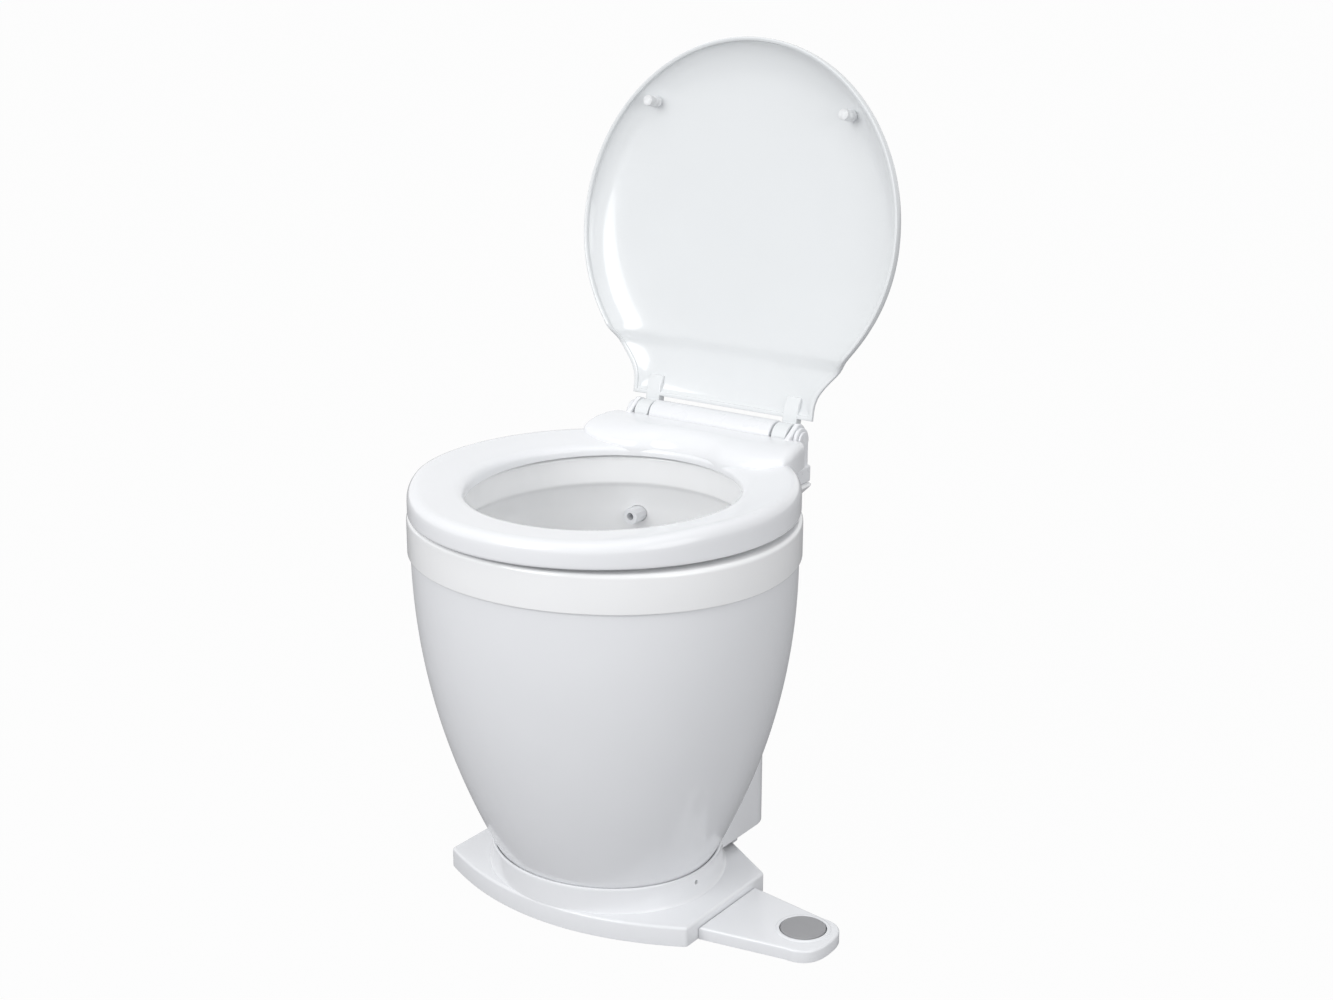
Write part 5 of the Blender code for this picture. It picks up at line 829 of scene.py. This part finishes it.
CARRIED = {
    HINGE_WHITE: ["hinge_nut_left", "hinge_nut_right", "flush_nozzle"],
    PLATE_WHITE: ["footswitch_base_plate", "switch_plunger"],
    PAD_WHITE: ["seat_buffer_front_left", "seat_buffer_front_right", "seat_buffer_rear_left",
                "seat_buffer_rear_right", "flush_hose"],
    BLACK_RUBBER: ["bowl_outlet_sleeve", "joker_valve", "shaft_seal", "pump_cradle", "motor_cradle",
                   "power_gland", "switch_cable", "motor_cable", "valve_cable"],
    PUMP_BLACK: ["pump_housing", "pump_front_plate", "discharge_spigot", "control_box",
                 "microswitch_body", "valve_coil"],
    MOTOR_BLACK: ["motor_can"],
    VALVE_BLUE: ["valve_body"],
    STEEL: ["hinge_pin", "hinge_bolt_left", "hinge_bolt_right", "shell_screw_left",
            "shell_screw_right", "rear_cover_screw_left", "rear_cover_screw_right",
            "sleeve_clamp_lower", "sleeve_clamp_upper", "service_bracket", "motor_end_cap",
            "motor_shaft", "motor_armature", "chopper_blade", "valve_plunger", "button_spring"],
    BRONZE: ["impeller", "inlet_barb"],
}


def dress_carried():
    """Give the solids that are shown as they are their materials."""
    for material, names in CARRIED.items():
        for name in names:
            item = NODES[name]
            smooth(item, 40)
            item.data.materials.clear()
            item.data.materials.append(material)


# Floor, light and camera

FLOOR_HALF = 40
FLOOR_DROP = 0.0002
FLOOR_GREY = (0.36, 0.36, 0.37)
FLOOR_GLOW = 0.97  # share of white that the camera sees on the floor
SOFT_TINT = (0.985, 0.99, 1)
SOFT_SIDE = (0.12, -0.85, 0.51)  # the side that the soft light is strongest from
SOFT_LOW = 0.41
SOFT_HIGH = 0.84
LAMPS = (  # name, place, target, size and power
    ("key", (-0.6, -2.8, 1.8), (0, 0, 0.3), 1.8, 34),
    ("top", (0.1, -0.4, 2.8), (0, 0, 0.4), 2.0, 4),
    ("side", (2.7, -0.9, 1.2), (0, 0, 0.35), 1.8, 13),
)
CAMERA_PLACE = (1.0717, -1.4412, 0.9402)
CAMERA_AXES = (  # right, up and forward
    (0.82090, 0.57107, 0.00270),
    (-0.16840, 0.23750, 0.95670),
    (-0.54570, 0.78580, -0.29110),
)
CAMERA_LENS = 53.823
SENSOR_WIDTH = 36


def make_floor():
    """A floor that takes shadows and looks white to the camera."""
    corners = [(-FLOOR_HALF, -FLOOR_HALF, 0), (FLOOR_HALF, -FLOOR_HALF, 0),
               (FLOOR_HALF, FLOOR_HALF, 0), (-FLOOR_HALF, FLOOR_HALF, 0)]
    mesh = bpy.data.meshes.new("floor")
    mesh.from_pydata(corners, [], [(0, 1, 2, 3)])
    floor = bpy.data.objects.new("floor", mesh)
    bpy.context.scene.collection.objects.link(floor)
    floor.location.z = -FLOOR_DROP
    material = bpy.data.materials.new("floor_white")
    material.use_nodes = True
    tree = material.node_tree
    shader = tree.nodes["Principled BSDF"]
    shader.inputs["Base Color"].default_value = (*FLOOR_GREY, 1)
    shader.inputs["Roughness"].default_value = 0.9
    glow = tree.nodes.new("ShaderNodeEmission")
    glow.inputs["Color"].default_value = (1, 1, 1, 1)
    path = tree.nodes.new("ShaderNodeLightPath")
    share = tree.nodes.new("ShaderNodeMath")
    share.operation = "MULTIPLY"
    share.inputs[1].default_value = FLOOR_GLOW
    mix = tree.nodes.new("ShaderNodeMixShader")
    tree.links.new(path.outputs["Is Camera Ray"], share.inputs[0])
    tree.links.new(share.outputs[0], mix.inputs["Fac"])
    tree.links.new(shader.outputs["BSDF"], mix.inputs[1])
    tree.links.new(glow.outputs["Emission"], mix.inputs[2])
    tree.links.new(mix.outputs[0], tree.nodes["Material Output"].inputs["Surface"])
    floor.data.materials.append(material)


def make_world():
    """Soft light from one side, seen as white by the camera, in mirrors and through glass."""
    world = bpy.data.worlds.new("studio")
    bpy.context.scene.world = world
    world.use_nodes = True
    tree = world.node_tree
    background = tree.nodes["Background"]
    path = tree.nodes.new("ShaderNodeLightPath")
    seen = tree.nodes.new("ShaderNodeMath")
    seen.operation = "MAXIMUM"
    also = tree.nodes.new("ShaderNodeMath")
    also.operation = "MAXIMUM"
    tree.links.new(path.outputs["Is Camera Ray"], seen.inputs[0])
    tree.links.new(path.outputs["Is Glossy Ray"], seen.inputs[1])
    tree.links.new(seen.outputs[0], also.inputs[0])
    tree.links.new(path.outputs["Is Transmission Ray"], also.inputs[1])
    place = tree.nodes.new("ShaderNodeTexCoord")
    toward = tree.nodes.new("ShaderNodeVectorMath")
    toward.operation = "DOT_PRODUCT"
    toward.inputs[1].default_value = SOFT_SIDE
    tree.links.new(place.outputs["Generated"], toward.inputs[0])
    soft = tree.nodes.new("ShaderNodeMapRange")
    soft.inputs["From Min"].default_value = -1
    soft.inputs["To Min"].default_value = SOFT_LOW
    soft.inputs["To Max"].default_value = SOFT_HIGH
    tree.links.new(toward.outputs["Value"], soft.inputs["Value"])
    level = tree.nodes.new("ShaderNodeMapRange")
    level.inputs["To Max"].default_value = 1.0
    tree.links.new(also.outputs[0], level.inputs["Value"])
    tree.links.new(soft.outputs["Result"], level.inputs["To Min"])
    tree.links.new(level.outputs["Result"], background.inputs["Strength"])
    background.inputs["Color"].default_value = (*SOFT_TINT, 1)


def make_lamp(name, place, target, size, power):
    """A round area lamp that shines from a place at a target."""
    data = bpy.data.lights.new(name, "AREA")
    data.shape = "DISK"
    data.size = size
    data.energy = power
    lamp = bpy.data.objects.new(name, data)
    bpy.context.scene.collection.objects.link(lamp)
    lamp.location = place
    lamp.rotation_euler = (Vector(target) - Vector(place)).to_track_quat("-Z", "Y").to_euler()


def make_camera():
    """The photograph's camera."""
    data = bpy.data.cameras.new("camera")
    data.sensor_width = SENSOR_WIDTH
    data.lens = CAMERA_LENS
    data.clip_start = 0.05
    camera = bpy.data.objects.new("camera", data)
    bpy.context.scene.collection.objects.link(camera)
    right, up, forward = CAMERA_AXES
    camera.matrix_world = Matrix(((right[0], up[0], -forward[0], CAMERA_PLACE[0]),
                                  (right[1], up[1], -forward[1], CAMERA_PLACE[1]),
                                  (right[2], up[2], -forward[2], CAMERA_PLACE[2]),
                                  (0, 0, 0, 1)))
    bpy.context.scene.camera = camera


make_casing()
make_bowl()
make_shelf()
make_plinth()
make_rear_cover()
make_foot_switch()
make_seat()
make_lid()
make_buffers()
make_hinge()
dress_carried()
make_floor()
make_world()
for lamp in LAMPS:
    make_lamp(*lamp)
make_camera()
bpy.context.scene.view_settings.view_transform = "Standard"
